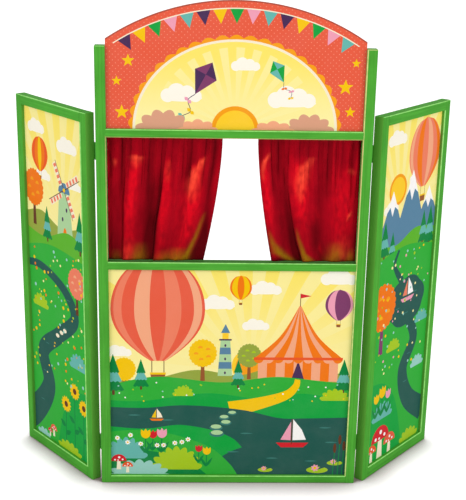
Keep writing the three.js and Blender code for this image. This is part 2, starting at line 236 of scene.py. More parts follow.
enamel, given, result = effect("enamel_over_wood", {
    "Paint": colour(LATH_GREEN), "Deep": colour(LATH_GREEN_DEEP), "Side": colour(SIDE_SHADE_GREEN),
    "Top": colour(TOP_SHADE_GREEN), "Arris": colour(ARRIS_HIGHLIGHT_GREEN), "Thin Edge": 0.0, "Thin Width": 0.0,
    "Thin Foot": 0.0, "Thin Head": 0.0, "Wood": colour(WINDOW_HIGHLIGHT_WOOD), "Rubbed": 0.0, "Turn": 0.0,
    "Grain": (1, 1, 1), "Roughness": LATH_ROUGHNESS,
})
place, facing = in_lath(given["Turn"])
grain = speckle(stretched(place, given["Grain"]), 1.0, 4.0, 0.6)
cloudy = speckle(place, 11.0, 4.0, 0.6)
peel = speckle(place, 900.0, 1.0)
painted = mixed(between(grain * 0.6 + cloudy * 0.4, 0.38, 0.62), given["Deep"], given["Paint"])
aside, level, up = parts(facing)
front = level * -1
# Side faces turn olive green and tops a darker green: painted shade by which way a face looks.
painted = mixed(between(maths("ABSOLUTE", level), 0.6, 0.15, 0.0, 0.85), painted, given["Side"])
painted = mixed(between(up, 0.6, 0.9, 0.0, 0.85), painted, given["Top"])
# Upward-front arrises turn pale green: a painted highlight, broken up by noise.
highlight_breakup = between(speckle(place, 70.0, 4.0, 0.6), 0.3, 0.6, 0.6, 1.0)
turned = between(maths("MINIMUM", up, front), 0.12, 0.45)
to_side, _, height = parts(place)
# Down one arris of some stiles, between the rails, a pale strip on the front face is a painted highlight.
highlight_strip = between(front, 0.1, 0.4)
for past in (to_side - given["Thin Edge"] - given["Thin Width"], height - given["Thin Head"],
             given["Thin Foot"] - height):
    highlight_strip = highlight_strip * between(past, 0.0, ARRIS_HIGHLIGHT_STRIP_FADE, 1.0, 0.0)
turned = maths("MAXIMUM", turned, highlight_strip)
painted = mixed(turned * highlight_breakup, painted, given["Arris"])
# Round the window the inward- and downward-facing front arrises take a pale wood colour: a painted highlight.
inward = maths("SIGN", to_side) * aside * -1
inward = maths("MAXIMUM", inward, up * -1)
window_highlight = between(maths("MINIMUM", inward, front), 0.1, 0.4)
window_highlight = window_highlight * between(height, *WINDOW_FOOT) * between(height, *WINDOW_HEAD) * given["Rubbed"]
painted = mixed(window_highlight * highlight_breakup, painted, given["Wood"])
feed(result["Colour"], painted)
feed(result["Roughness"], given["Roughness"] + between(cloudy, 0.3, 0.7, -0.04, 0.05))
feed(result["Normal"], bump(grain + peel * 0.35, 0.4, 0.0004))


def across_of(name, side):
    """The level direction along a wing towards the audience's right."""
    inner, outer = (sum(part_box(f"{name}_wing_{stile}_stile"), Vector()) / 2 for stile in ("inner", "outer"))
    return (outer - inner).normalized() * side


acrosses = {"centre": Vector((1, 0, 0)), "left": across_of("left", -1), "right": across_of("right", 1)}
turns = {name: math.atan2(across.y, across.x) for name, across in acrosses.items()}


def finish_node(node, material, smooth=True):
    """Puts a material on a CAD node, and smooths its faces up to the sharpest round edge."""
    piece = frame["nodes"][node]
    piece.data.materials.clear()
    piece.data.materials.append(material)
    if smooth:
        piece.data.shade_smooth()
        with bpy.context.temp_override(object=piece, active_object=piece, selected_editable_objects=[piece],
                                       selected_objects=[piece]):
            bpy.ops.object.shade_smooth_by_angle(angle=MAX_SMOOTH_ANGLE)


def lath_finish(node, name):
    """The enamel on one lath, with its grain along the lath."""
    unturned = Matrix.Rotation(-turns[name], 3, "Z")
    points = np.array([unturned @ v.co for v in frame["nodes"][node].data.vertices])
    sizes = np.ptp(points, axis=0)
    values = {
        # The sill's top is darker still: painted shade under the head rail and the curtains.
        "Top": colour(SILL_TOP_SHADE_GREEN if node == "sill_rail" else TOP_SHADE_GREEN),
        "Arris": colour(ARRIS_HIGHLIGHT_CREAM if node == "centre_right_stile" else ARRIS_HIGHLIGHT_GREEN),
        "Turn": turns[name],
        "Grain": tuple(GRAIN_ALONG if size == max(sizes) else GRAIN_ACROSS for size in sizes),
        "Rubbed": WINDOW_HIGHLIGHT_SHARE if name == "centre" else 0.0,
    }
    # These stiles get a pale strip down one front arris: a painted highlight.
    if node in ARRIS_HIGHLIGHT_STRIPS:
        wing = "" if name == "centre" else name + "_wing_"
        head = points[:, 2].max() if name == "centre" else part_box(wing + "top_rail")[0].z
        values |= {"Thin Edge": points[:, 0].min(), "Thin Width": ARRIS_HIGHLIGHT_STRIPS[node],
                   "Thin Foot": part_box(wing + "bottom_rail")[1].z, "Thin Head": head}
    return finish_of("green_" + node, enamel, values, Specular_IOR_Level=LATH_SHINE)


def wing_name(node):
    return next((name for name in ("left", "right") if node.startswith(name + "_wing")), "centre")


for node in frame["nodes"]:
    if node.endswith(("_stile", "_rail")):
        finish_node(node, lath_finish(node, wing_name(node)))

# Boards. Each is a sheet of thin birch plywood that slides into the laths' grooves, pale and
# plainly sealed on the back, with a darker cut edge that shows along the header's arch.
PLY_PALE = "#E2C79A"
PLY_DARK = "#C9A46E"
PLY_EDGE = "#8E6238"

plywood, given, result = effect("sealed_plywood", {
    "Pale": colour(PLY_PALE), "Dark": colour(PLY_DARK), "Edge": colour(PLY_EDGE), "Turn": 0.0})
place, facing = in_lath(given["Turn"])
figure = speckle(stretched(place, (38, 38, 3.2)), 1.0, 4.0, 0.62)
rings = Value(put(plywood, "ShaderNodeTexWave", stretched(place, (9, 9, 0.8)), 2.2, 9.0, 2.0, 1.2).outputs[1])
pores = speckle(stretched(place, (1300, 1300, 70)), 1.0, 2.0)
faced = mixed(between(figure * 0.7 + rings * 0.3, 0.3, 0.75), given["Pale"], given["Dark"])
faced = mixed(between(pores, 0.62, 0.75, 0.0, 0.35), faced, given["Edge"])
front_back = between(maths("ABSOLUTE", parts(facing)[1]), 0.5, 0.9)
feed(result["Colour"], mixed(front_back, given["Edge"], faced))
feed(result["Roughness"], between(figure, 0.2, 0.8, 0.42, 0.55))
feed(result["Normal"], bump(pores, 0.3, 0.0003))

for node in frame["nodes"]:
    if node.endswith("_board"):
        sealed = finish_of("plywood_" + node, plywood, {"Turn": turns[wing_name(node)]})
        finish_node(node, sealed, smooth=False)

# Printed sheets. Each board is faced with a printed paper, cut flush and tucked under the laths.
# A picture is drawn as flat shapes, back to front, in metres from the middle of the board's foot,
# and then cut along every outline into one sheet, so that each face has the ink that lies on top.
SHEET_THICKNESS = 0.00016
SHEET_GLUE = 0.00003
SHEET_TUCK = 0.0045
CUT_TOLERANCE = 1e-7
PRINT_SHINE = 0.03
PICTURE_FOOT = -0.06
FADED_SHARE = 0.03

INKS = {
    "sky_high": "#FFEA6C", "sky_low": "#FFF5A8", "cloud": "#FFFBEA", "ray": "#FFF29C", "sun": "#FFD02E",
    "sun_rim": "#F9A21B", "cream": "#FBF0D2", "white": "#FFFEFA", "coral": "#EA5F43", "coral_rim": "#B4503C",
    "coral_dot": "#F58E72", "coral_light": "#F18262", "peach": "#F7AC84", "orange": "#F47A14",
    "deep_orange": "#EC5A28", "red": "#D6232C", "pink": "#F2A3B8", "yellow": "#F8C808", "olive": "#97A842",
    "lime": "#A9CC22", "leaf": "#5EB52C", "meadow": "#32B03A", "green": "#12A540", "deep_green": "#0B8540",
    "teal": "#68B9AE", "pale_teal": "#9BD3C6", "dark_teal": "#24594F", "wave": "#3B7A70", "mint": "#AFD69E",
    "slate": "#5A86A2", "brown": "#98592F", "dark_brown": "#653A22", "plum": "#80406A",
    "deep_plum": "#4B3058", "skin_peach": "#DDA283",
}

print_ink, given, result = effect("printed_ink", {"Ink": (1, 1, 1, 1), "Faded": (1, 1, 1, 1)})
place = whereabouts(print_ink)
uneven = speckle(place, 14.0, 4.0, 0.6)
fibre = speckle(place, 1100.0, 2.0)
ply_grain = speckle(stretched(place, (420, 420, 26)), 1.0, 3.0)
weak = between(uneven, 0.35, 0.75, 0.0, 0.5) + between(fibre, 0.5, 0.8, 0.0, 0.5)
feed(result["Colour"], mixed(weak, given["Ink"], given["Faded"]))
feed(result["Roughness"], between(uneven, 0.3, 0.7, 0.5, 0.6))
feed(result["Normal"], bump(ply_grain * 0.8 + fibre * 0.2, 0.12, 0.0003))


def faded(ink, share=FADED_SHARE):
    """An ink's colour where it lies thin and the paper shows through a little."""
    return tuple(c + (1 - c) * share for c in colour(INKS[ink])[:3]) + (1,)


ink_finishes = {
    ink: finish_of("ink_" + ink, print_ink, {"Ink": faded(ink, 0), "Faded": faded(ink)},
                   Specular_IOR_Level=PRINT_SHINE)
    for ink in INKS
}


def effect_in(material):
    return next(node for node in material.node_tree.nodes if node.type == "GROUP")


def two_inks(name, first, second, share_at):
    """A print that passes from one ink to another by a share that depends on the place."""
    material = finish_of(name, print_ink, {}, Specular_IOR_Level=PRINT_SHINE)
    share = share_at(*parts(whereabouts(material.node_tree)))
    for socket, fade in (("Ink", 0), ("Faded", FADED_SHARE)):
        feed(effect_in(material).inputs[socket], mixed(share, faded(first, fade), faded(second, fade)))
    return material


def sky_ink(name, low, high):
    """The sky's ink, airbrushed from pale at a low level to full yellow at a high one."""
    return two_inks("ink_sky_" + name, "sky_low", "sky_high", lambda x, y, z: between(z, low, high))


def dots_share(x, y, z, pitch=0.0118, radius=0.0011):
    """A staggered field of small dots."""
    row = z / (pitch / 2)
    odd = maths("MODULO", maths("FLOOR", row), 2)
    column = x / pitch + odd * 0.5
    across = (maths("FRACT", column) - 0.5) * pitch
    up = (maths("FRACT", row) - 0.5) * (pitch / 2)
    return between(maths("SQRT", across * across + up * up), radius * 1.25, radius * 0.75)


def around(x, y, wide, tall, angles, reach=lambda a: 1):
    """Points round an oval at some angles, with each drawn in by its reach."""
    return [(x + wide * reach(a) * math.cos(a), y + tall * reach(a) * math.sin(a)) for a in angles]


def spot(x, y, radius, tall=None, points=30):
    """The outline of a disc or, with tall, of an oval."""
    return around(x, y, radius, tall or radius, [2 * math.pi * i / points for i in range(points)])


def wedge(x, y, radius, first, last, points=12):
    """A slice of a disc between two angles in degrees."""
    angles = [math.radians(first + (last - first) * i / points) for i in range(points + 1)]
    return [(x, y)] + around(x, y, radius, radius, angles)


def frilled(x, y, radius, tall, lobes, depth, lean=0.0, points=8):
    """An oval with round lobes all along its edge, as a bush or a tree's crown has."""
    angles = [2 * math.pi * i / (lobes * points) for i in range(lobes * points)]
    return around(x, y, radius, tall, angles,
                  lambda a: 1 - depth + depth * abs(math.sin(lobes * (a + lean) / 2)))


def mound(x, y, width, height, lobes, points=9):
    """Half a frilled oval on a flat foot."""
    angles = [math.pi * i / (lobes * points) for i in range(lobes * points + 1)]
    return around(x, y, width / 2, height, angles, lambda a: 0.82 + 0.18 * abs(math.sin(lobes * a)))


def rectangle(half, low, high):
    return [(-half, low), (half, low), (half, high), (-half, high)]


def taper(x, low, half_low, high, half_high):
    """An upright shape with straight sides, such as a trunk or a tower."""
    return [(x - half_low, low), (x - half_high, high), (x + half_high, high), (x + half_low, low)]


def flowing(points, steps=14):
    """A smooth line through a few points."""
    ends = [points[0], *points, points[-1]]
    line = []
    for before, start, end, after in zip(ends, ends[1:], ends[2:], ends[3:]):
        for i in range(steps):
            t = i / steps
            line.append(tuple(
                0.5 * (2 * b + (c - a) * t + (2 * a - 5 * b + 4 * c - d) * t ** 2
                       + (3 * b - a - 3 * c + d) * t ** 3)
                for a, b, c, d in zip(before, start, end, after)))
    return line + [tuple(points[-1])]


def hill(ink, *crest):
    """Everything under a smooth crest line, down past the foot of the picture."""
    line = flowing(crest)
    return [(ink, [(line[0][0], PICTURE_FOOT), *line, (line[-1][0], PICTURE_FOOT)][::-1])]


def band(ink, *course, steps=14):
    """A smooth winding band through points (x, y, width)."""
    line = flowing(course, steps)
    left, right = [], []
    for i, (x, y, width) in enumerate(line):
        before, after = line[max(i - 1, 0)], line[min(i + 1, len(line) - 1)]
        along = Vector((after[0] - before[0], after[1] - before[1])).normalized()
        left.append((x - along.y * width / 2, y + along.x * width / 2))
        right.append((x + along.y * width / 2, y - along.x * width / 2))
    return [(ink, left + right[::-1])]


def directions(angle):
    """The unit vectors along an angle in degrees, and a quarter turn on from it."""
    along = Vector((math.cos(math.radians(angle)), math.sin(math.radians(angle))))
    return along, Vector((-along.y, along.x))


def petal(x, y, length, width, angle, points=10):
    """A pointed leaf or petal that grows from (x, y) along an angle in degrees."""
    along, beside = directions(angle)
    rim = [(i / points, math.sin(math.pi * (i / points) ** 0.8) * width / 2) for i in range(points + 1)]
    outline = [(length * t, w) for t, w in rim] + [(length * t, -w) for t, w in rim[-2:0:-1]]
    return [(x + along.x * t + beside.x * w, y + along.y * t + beside.y * w) for t, w in outline]


def each(motif, *places):
    """One motif at several places, each given as the motif's own values."""
    return [shape for place in places for shape in motif(*place)]


def cloud(x, y, width):
    puffs = ((-0.34, 0.06, 0.17), (-0.12, 0.14, 0.22), (0.13, 0.12, 0.19), (0.34, 0.05, 0.15))
    body = [("cloud", spot(x + width * dx, y + width * dy, width * r)) for dx, dy, r in puffs]
    return body + [("cloud", spot(x, y, width * 0.5, width * 0.09))]


def rays(x, y, radius, count):
    """A fan of pale wedges that open upwards from the sun."""
    step = 180 / count
    return [("ray", wedge(x, y, radius, step * i, step * (i + 0.5), 3)) for i in range(count)]


def balloon(x, y, radius, inks, gores, steps=22):
    """A hot-air balloon: a round crown drawn in to its mouth, in upright gores, with a basket."""
    crown = []
    for t in (s / steps for s in range(steps + 1)):
        half = math.sqrt(max(0.0, 1 - (1 - 2 * t) ** 2)) if t < 0.5 else 1 - 0.84 * (2 * t - 1) ** 2.1
        crown.append((half, y + radius * (1 - 2.35 * t)))
    shapes = []
    for i in range(gores):
        left, right = (math.sin(math.pi * (k / gores - 0.5)) for k in (i, i + 1))
        rim = [(x + radius * left * half, level) for half, level in crown]
        rim += [(x + radius * right * half, level) for half, level in crown[::-1]]
        shapes.append((inks[i % len(inks)], rim))
    mouth, top, foot = crown[-1][1], y - radius * 1.62, y - radius * 1.86
    rope, wide, narrow = radius * 0.018, radius * 0.17, radius * 0.13
    for dx in (-0.13, 0.13):
        shapes += band("dark_brown", (x + radius * dx, mouth, rope), (x + radius * dx, top, rope), steps=2)
    shapes.append(("brown", taper(x, top, wide, foot, narrow)))
    return shapes + [("yellow", taper(x, top, wide, top - radius * 0.05, wide))]


def round_tree(x, y, height, crown, bark, light=None):
    """A tree with a frilled round crown on a forked trunk."""
    wide = height * 0.24
    shapes = [(bark, taper(x, y, wide * 0.22, y + height * 0.6, wide * 0.12))]
    for angle in (50, 130):
        shapes.append((bark, petal(x, y + height * 0.32, height * 0.3, height * 0.04, angle)))
    shapes.append((crown, frilled(x, y + height * 0.68, height * 0.32, height * 0.34, 22, 0.07)))
    for i in range(5) if light else ():
        a = math.radians(40 + 72 * i)
        shapes.append((light, wedge(x + height * 0.15 * math.cos(a), y + height * (0.66 + 0.15 * math.sin(a)),
                                    height * 0.055, 0, 180, 8)))
    return shapes


def pine(x, y, height):
    """A fir in three skirts."""
    shapes = [("dark_brown", taper(x, y, height * 0.03, y + height * 0.2, height * 0.03))]
    for foot, tip, half, ink in ((0.12, 0.55, 0.24, "deep_green"), (0.34, 0.78, 0.19, "teal"),
                                 (0.56, 1.0, 0.14, "deep_green")):
        hem = [(x + height * half * (1 - 2 * i / 8),
                y + height * (foot - 0.03 * (i % 2))) for i in range(9)]
        shapes.append((ink, [(x, y + height * tip), *hem[::-1]]))
    return shapes


def tulip(x, y, height, ink):
    stem, lean = "deep_green", x + height * 0.03
    shapes = band(stem, (x, y, height * 0.05), (lean, y + height * 0.65, height * 0.04), steps=3)
    shapes += [(stem, petal(x, y, height * 0.55, height * 0.13, angle)) for angle in (58, 118)]
    return shapes + [(ink, petal(lean, y + height * 0.6, height * 0.42, height * 0.2, angle))
                     for angle in (66, 114, 90)]


def daisy(x, y, radius, ink="white", eye="yellow", count=7):
    shapes = [(ink, petal(x, y, radius, radius * 0.62, 360 * i / count, 6)) for i in range(count)]
    return shapes + [(eye, spot(x, y, radius * 0.36, points=12))]


def toadstool(x, y, height, cap="red"):
    wide = height * 0.42
    shapes = [("cream", taper(x, y, wide * 0.3, y + height * 0.6, wide * 0.2)),
              (cap, wedge(x, y + height * 0.5, wide, 0, 180, 16))]
    dots = ((-0.5, 0.2, 0.12), (0.05, 0.55, 0.15), (0.5, 0.25, 0.12), (-0.1, 0.15, 0.09))
    return shapes + [("white", spot(x + wide * dx, y + height * 0.5 + wide * dy, wide * r, points=12))
                     for dx, dy, r in dots]


def bush(x, y, width, height, ink, lobes=7):
    return [(ink, mound(x, y, width, height, lobes))]


def star(x, y, radius, arms=5, inner=0.42):
    outline = []
    for i in range(2 * arms):
        outline += around(x, y, radius, radius, [math.pi / 2 + math.pi * i / arms],
                          lambda a: inner if i % 2 else 1)
    return [("yellow", outline)]


def kite(x, y, length, angle, inks, bows):
    """A diamond kite in four panels, with a curling tail of bows."""
    along, beside = directions(angle)
    middle = Vector((x, y))
    head, foot = middle + along * length * 0.38, middle - along * length * 0.62
    left, right = middle + beside * length * 0.34, middle - beside * length * 0.34
    corners = [head, left, foot, right]
    shapes = [(inks[i % 2], [tuple(middle), tuple(corners[i]), tuple(corners[(i + 1) % 4])])
              for i in range(4)]
    tail = [foot - along * length * 0.24 * i + beside * length * 0.12 * math.sin(2.2 * i)
            for i in range(len(bows) + 1)]
    shapes += band("deep_plum", *((p.x, p.y, length * 0.02) for p in tail), steps=6)
    for bow, p in zip(bows, tail[1:]):
        shapes += [(bow, petal(p.x, p.y, length * 0.13, length * 0.1, angle + turn)) for turn in (75, 255)]
    return shapes


def tent(x, y, width, height, inks, stripes=9):
    """A show tent: striped roof and walls, a frilled eave, a doorway and a pennant."""
    wall, eave, apex = height * 0.3, width / 2, (x, y + height)
    shapes = []
    for i in range(stripes):
        a, b = (x - eave * 0.9 + 1.8 * eave * k / stripes for k in (i, i + 1))
        shapes.append((inks[i % 2], [(a, y), (a, y + wall), (b, y + wall), (b, y)]))
    shapes.append(("deep_plum", [(x - eave * 0.16, y), (x, y + wall * 0.92), (x + eave * 0.16, y)]))
    for i in range(stripes):
        a, b = (x - eave + 2 * eave * k / stripes for k in (i, i + 1))
        sag = [flowing([(k, y + wall), (x + (k - x) * 0.42, y + wall + (height - wall) * 0.42), apex], 8)
               for k in (a, b)]
        shapes.append((inks[(i + 1) % 2], sag[0] + sag[1][::-1]))
        shapes.append((inks[(i + 1) % 2], wedge((a + b) / 2, y + wall, (b - a) / 2, 180, 360)))
    hem = height * 0.035
    shapes += band(inks[2], (x - eave, y + wall, hem), (x + eave, y + wall, hem), steps=2)
    top = y + height * 1.14
    shapes += band("dark_brown", (x, y + height * 0.98, 0.0016), (x, top, 0.0016), steps=2)
    return shapes + [("red", [(x, top), (x + height * 0.13, top - height * 0.03), (x, top - height * 0.06)])]


def windmill(x, y, height):
    """A tower mill with a pale body, a slate cap and four slatted sails."""
    foot, head, eave = height * 0.19, height * 0.12, y + height * 0.62
    shapes = [("mint", taper(x, y, foot, eave, head)), ("slate", wedge(x, eave, head * 1.15, 0, 180, 14)),
              ("orange", mound(x, y, height * 0.11, height * 0.15, 1))]
    for dx, up in ((-0.05, 0.26), (0.05, 0.4)):
        shapes.append(("deep_plum", spot(x + height * dx, y + height * up, height * 0.02, height * 0.03)))
    hub = Vector((x, y + height * 0.66))
    for angle in (28, 118, 208, 298):
        along, beside = directions(angle)
        slats = [("coral_light", [(u, 0.01), (u, 0.07), (u + 0.045, 0.075), (u + 0.045, 0.01)])
                 for u in (0.1 + 0.08 * k for k in range(4))]
        for ink, corners in [("cream", [(0.08, 0), (0.08, 0.07), (0.4, 0.09), (0.4, 0)]), *slats]:
            shapes.append((ink, [tuple(hub + along * height * u + beside * height * v) for u, v in corners]))
        tip = hub + along * height * 0.42
        shapes += band("dark_brown", (*hub, height * 0.014), (*tip, height * 0.01), steps=2)
    return shapes + [("yellow", spot(hub.x, hub.y, height * 0.028))]


def lighthouse(x, y, height):
    """A banded tower with a gallery, a lit lantern and a slate cap."""
    foot, head, gallery = height * 0.13, height * 0.085, y + height * 0.7
    shapes = [("mint", taper(x, y, foot, gallery, head))]
    for low in (0.14, 0.42):
        halves = [foot + (head - foot) * share / 0.7 for share in (low, low + 0.13)]
        shapes.append(("slate", taper(x, y + height * low, halves[0], y + height * (low + 0.13), halves[1])))
    lantern, eave, rail = height * 0.055, gallery + height * 0.13, height * 0.03
    shapes.append(("sun", taper(x, gallery, lantern, eave, lantern)))
    shapes += band("deep_plum", (x - head * 1.3, gallery, rail), (x + head * 1.3, gallery, rail), steps=2)
    shapes.append(("slate", [(x - lantern * 1.5, eave), (x, y + height), (x + lantern * 1.5, eave)]))
    for share in (0.06, 0.33, 0.59):
        shapes.append(("deep_plum", spot(x, y + height * share, height * 0.018, height * 0.028, 14)))
    return shapes


def sailing_boat(x, y, width, hull="red", sails=("white", "pink")):
    mast, top, boom = x - width * 0.02, y + width * 0.95, width * 0.025
    shapes = [(hull, taper(x, y + width * 0.16, width / 2, y, width * 0.34))]
    shapes += band("dark_brown", (mast, y + width * 0.1, boom), (mast, top, boom), steps=2)
    main = [(0.03, 0.24), (0.44, 0.26), (0.3, 0.6), (0.03, 0.95)]
    jib = [(-0.03, 0.24), (-0.34, 0.26), (-0.03, 0.87)]
    return shapes + [(ink, [(mast + width * a, y + width * b) for a, b in sail])
                     for ink, sail in zip(sails, (main, jib))]


def ripples(width, *places):
    return [("wave", petal(x - width / 2, y, width, width * 0.12, 0)) for x, y in places]


def added(name, data):
    """A new object in the scene."""
    made = bpy.data.objects.new(name, data)
    bpy.context.scene.collection.objects.link(made)
    return made


def thicken(piece, name, thickness, offset):
    """Gives a sheet its thickness, behind it or, with no offset, to both sides."""
    made = piece.modifiers.new(name, "SOLIDIFY")
    made.thickness = thickness
    made.offset = offset


def out_of(across):
    """The level direction towards the audience, square to a board's own across."""
    return Vector((across.y, -across.x, 0))


def cut_sheet(name, shapes, outline, body, corner, across, finishes):
    """Cuts the shapes into one flat sheet within an outline, and lays it on the front of a board."""
    points, faces = [], []
    for _, rim in [(None, outline), *shapes]:
        area = sum(a[0] * b[1] - b[0] * a[1] for a, b in zip(rim, rim[1:] + rim[:1]))
        start = len(points)
        points += [Vector(p) for p in (rim if area > 0 else rim[::-1])]
        faces.append(list(range(start, len(points))))
    flat, _, pieces, _, _, covers = delaunay_2d_cdt(points, [], faces, 1, CUT_TOLERANCE)
    kept = [(piece, max(cover)) for piece, cover in zip(pieces, covers) if 0 in cover]
    used = sorted({v for piece, _ in kept for v in piece})
    row_of = {v: i for i, v in enumerate(used)}
    places = [corner + across * flat[v].x + Vector((0, 0, flat[v].y)) for v in used]
    mesh = bpy.data.meshes.new(name)
    mesh.from_pydata(places, [], [[row_of[v] for v in piece] for piece, _ in kept])
    if mesh.polygons[0].normal.dot(out_of(across)) < 0:
        mesh.flip_normals()
    inks = sorted({"cream", *(ink for ink, _ in shapes)})
    for ink in inks:
        mesh.materials.append(finishes.get(ink) or ink_finishes[ink])
    for polygon, (_, top) in zip(mesh.polygons, kept):
        polygon.material_index = inks.index(shapes[top - 1][0] if top else "cream")
    sheet = added(name, mesh)
    thicken(sheet, "paper", SHEET_THICKNESS, -1)
    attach(sheet, body)


# Front board's picture: a fair by a river, with striped balloons over the hills, a lighthouse, a
# show tent, round trees and firs, boats and stepping stones, and flowers on the near bank.
front_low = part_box("front_board")[0]
rail_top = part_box("bottom_rail")[1].z
sill_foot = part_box("sill_rail")[0].z
opening_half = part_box("centre_right_stile")[0].x


def stone(x, y, width):
    return [("wave", spot(x, y - width * 0.12, width * 0.62, width * 0.3)),
            ("mint", spot(x, y, width * 0.5, width * 0.22))]


def water_lily(x, y, width):
    leaf = [("lime", spot(x, y, width / 2, width * 0.17)),
            ("dark_teal", wedge(x, y, width * 0.52, 20, 48, 4))]
    return leaf + daisy(x - width * 0.1, y + width * 0.1, width * 0.2, "pink")


def bulrush(x, lift):
    stem = band("deep_green", (x, -0.01, 0.0022), (x + 0.003, 0.07 + lift, 0.0018), steps=3)
    return stem + [("dark_brown", spot(x + 0.0028, 0.074 + lift, 0.0036, 0.0125, 16))]


dice = random.Random(5)
front = [("sky", rectangle(0.3, -0.02, 0.52))]
front += rays(0.045, 0.255, 0.5, 13)
front += [("sun", spot(0.045, 0.272, 0.042)), ("sun_rim", spot(0.045, 0.272, 0.033))]
front += each(cloud, (-0.03, 0.415, 0.075), (0.075, 0.45, 0.07), (0.055, 0.365, 0.06), (-0.25, 0.3, 0.06),
              (0.235, 0.475, 0.08))
front += balloon(-0.162, 0.424, 0.104, ("coral", "coral_light", "coral", "peach"), 9)
front += balloon(0.02, 0.463, 0.024, ("orange", "yellow"), 5)
front += balloon(0.238, 0.425, 0.031, ("plum", "pink", "plum"), 5)
front += hill("olive", (-0.3, 0.255), (-0.2, 0.235), (-0.08, 0.262), (0.02, 0.25), (0.12, 0.272),
              (0.3, 0.245))
front += round_tree(-0.062, 0.235, 0.1, "yellow", "brown", "sun_rim")
front += round_tree(0.042, 0.24, 0.085, "olive", "brown", "lime")
front += round_tree(-0.238, 0.205, 0.085, "yellow", "brown")
front += lighthouse(-0.012, 0.248, 0.125)
front += tent(0.152, 0.235, 0.2, 0.185, ("peach", "orange", "deep_orange"))
front += hill("meadow", (-0.3, 0.215), (-0.17, 0.245), (-0.02, 0.232), (0.1, 0.246), (0.2, 0.237),
              (0.3, 0.225))
front += each(pine, (-0.262, 0.2, 0.1), (-0.2, 0.213, 0.075), (0.018, 0.218, 0.07), (0.256, 0.205, 0.085))
front += hill("green", (-0.3, 0.19), (-0.2, 0.185), (-0.05, 0.205), (0.08, 0.19), (0.17, 0.205), (0.3, 0.18))
front += band("yellow", (0.152, 0.24, 0.012), (0.148, 0.222, 0.016), (0.125, 0.2, 0.022), (0.065, 0.18, 0.03),
              (0.0, 0.165, 0.04))
front += bush(-0.105, 0.198, 0.05, 0.026, "lime") + bush(0.238, 0.188, 0.07, 0.03, "lime")
front += band("dark_teal", (-0.32, 0.15, 0.045), (-0.2, 0.142, 0.052), (-0.1, 0.15, 0.05),
              (0.02, 0.128, 0.075), (0.14, 0.07, 0.15), (0.36, 0.05, 0.2))
front += hill("dark_teal", (-0.1, -0.03), (-0.05, 0.02), (0.06, 0.075), (0.3, 0.05))
front += ripples(0.03, (-0.215, 0.15), (-0.14, 0.138), (0.04, 0.105), (0.22, 0.12), (0.1, 0.042),
                 (0.19, 0.035), (0.235, 0.083), (0.01, 0.058))
front += each(stone, (0.006, 0.158, 0.017), (-0.012, 0.147, 0.019), (-0.008, 0.134, 0.021),
              (-0.03, 0.122, 0.024), (-0.028, 0.107, 0.027))
front += sailing_boat(0.145, 0.07, 0.075)
front += sailing_boat(-0.165, 0.136, 0.032, "orange", ("cream", "yellow"))
front += hill("meadow", (-0.3, 0.105), (-0.18, 0.112), (-0.06, 0.078), (0.0, 0.03), (0.03, -0.02))
front += hill("deep_green", (-0.3, 0.05), (-0.2, 0.062), (-0.1, 0.036), (-0.04, -0.01))
front += bush(-0.235, 0.04, 0.1, 0.055, "teal", 9) + bush(-0.12, 0.012, 0.12, 0.06, "lime", 9)
front += bush(-0.205, -0.012, 0.15, 0.05, "pale_teal", 9)
front += each(tulip, (-0.175, 0.06, 0.052, "red"), (-0.155, 0.055, 0.062, "pink"),
              (-0.192, 0.055, 0.06, "yellow"), (-0.07, 0.03, 0.045, "red"), (-0.052, 0.02, 0.05, "yellow"))
front += toadstool(-0.252, 0.012, 0.042) + toadstool(-0.232, 0.004, 0.03, "deep_orange")
front += each(water_lily, (0.205, 0.012, 0.05), (0.245, 0.03, 0.036), (0.085, 0.012, 0.034))
front += each(bulrush, (0.262, 0.0), (0.252, 0.016), (0.241, -0.006))
for _ in range(34):
    x, y = dice.uniform(-0.26, 0.26), dice.uniform(0.185, 0.232)
    front.append((dice.choice(("yellow", "white", "pale_teal", "lime")), spot(x, y, 0.0019, points=8)))
for _ in range(9):
    front += daisy(dice.uniform(-0.26, -0.09), dice.uniform(0.07, 0.1), 0.0065)

front_outline = rectangle(opening_half + SHEET_TUCK, -SHEET_TUCK, sill_foot - rail_top + SHEET_TUCK)
cut_sheet("front_board_print", front, front_outline, "centre_frame",
          Vector((0, front_low.y - SHEET_GLUE - SHEET_THICKNESS, rail_top)), acrosses["centre"],
          {"sky": sky_ink("front", rail_top + 0.22, sill_foot)})

# Header board's picture: a dotted coral ground with a darker rim along the arch, a sunrise in a
# frilled golden arch, clouds, kites, a swag of pennants under the edge, and stars at the sides.
ARCH_SHOULDER = 1.014
HEADER_PLAY = 0.0003
PENNANTS = 15
PENNANT_SWEEP = 31.5

header_low, header_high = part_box("header_board")
head_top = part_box("head_rail")[1].z
header_rise = header_high.z - head_top
header_half = opening_half - HEADER_PLAY
arch_rise = header_high.z - ARCH_SHOULDER
arch_radius = (header_half ** 2 + arch_rise ** 2) / (2 * arch_rise)
arch_centre = header_rise - arch_radius
half_sweep = math.asin(header_half / arch_radius)


def on_arch(inset, angle):
    """A point at some inset from the arched edge, at an angle from its centre."""
    reach = arch_radius - inset
    return reach * math.cos(angle), arch_centre + reach * math.sin(angle)


def under_arch(ink, inset, sweep, width, steps=40):
    """A line of one width that follows the arched edge, inset from it, over a share of its sweep."""
    angles = (math.pi / 2 + half_sweep * sweep * (1 - 2 * k / steps) for k in range(steps + 1))
    return band(ink, *((*on_arch(inset, angle), width) for angle in angles), steps=2)


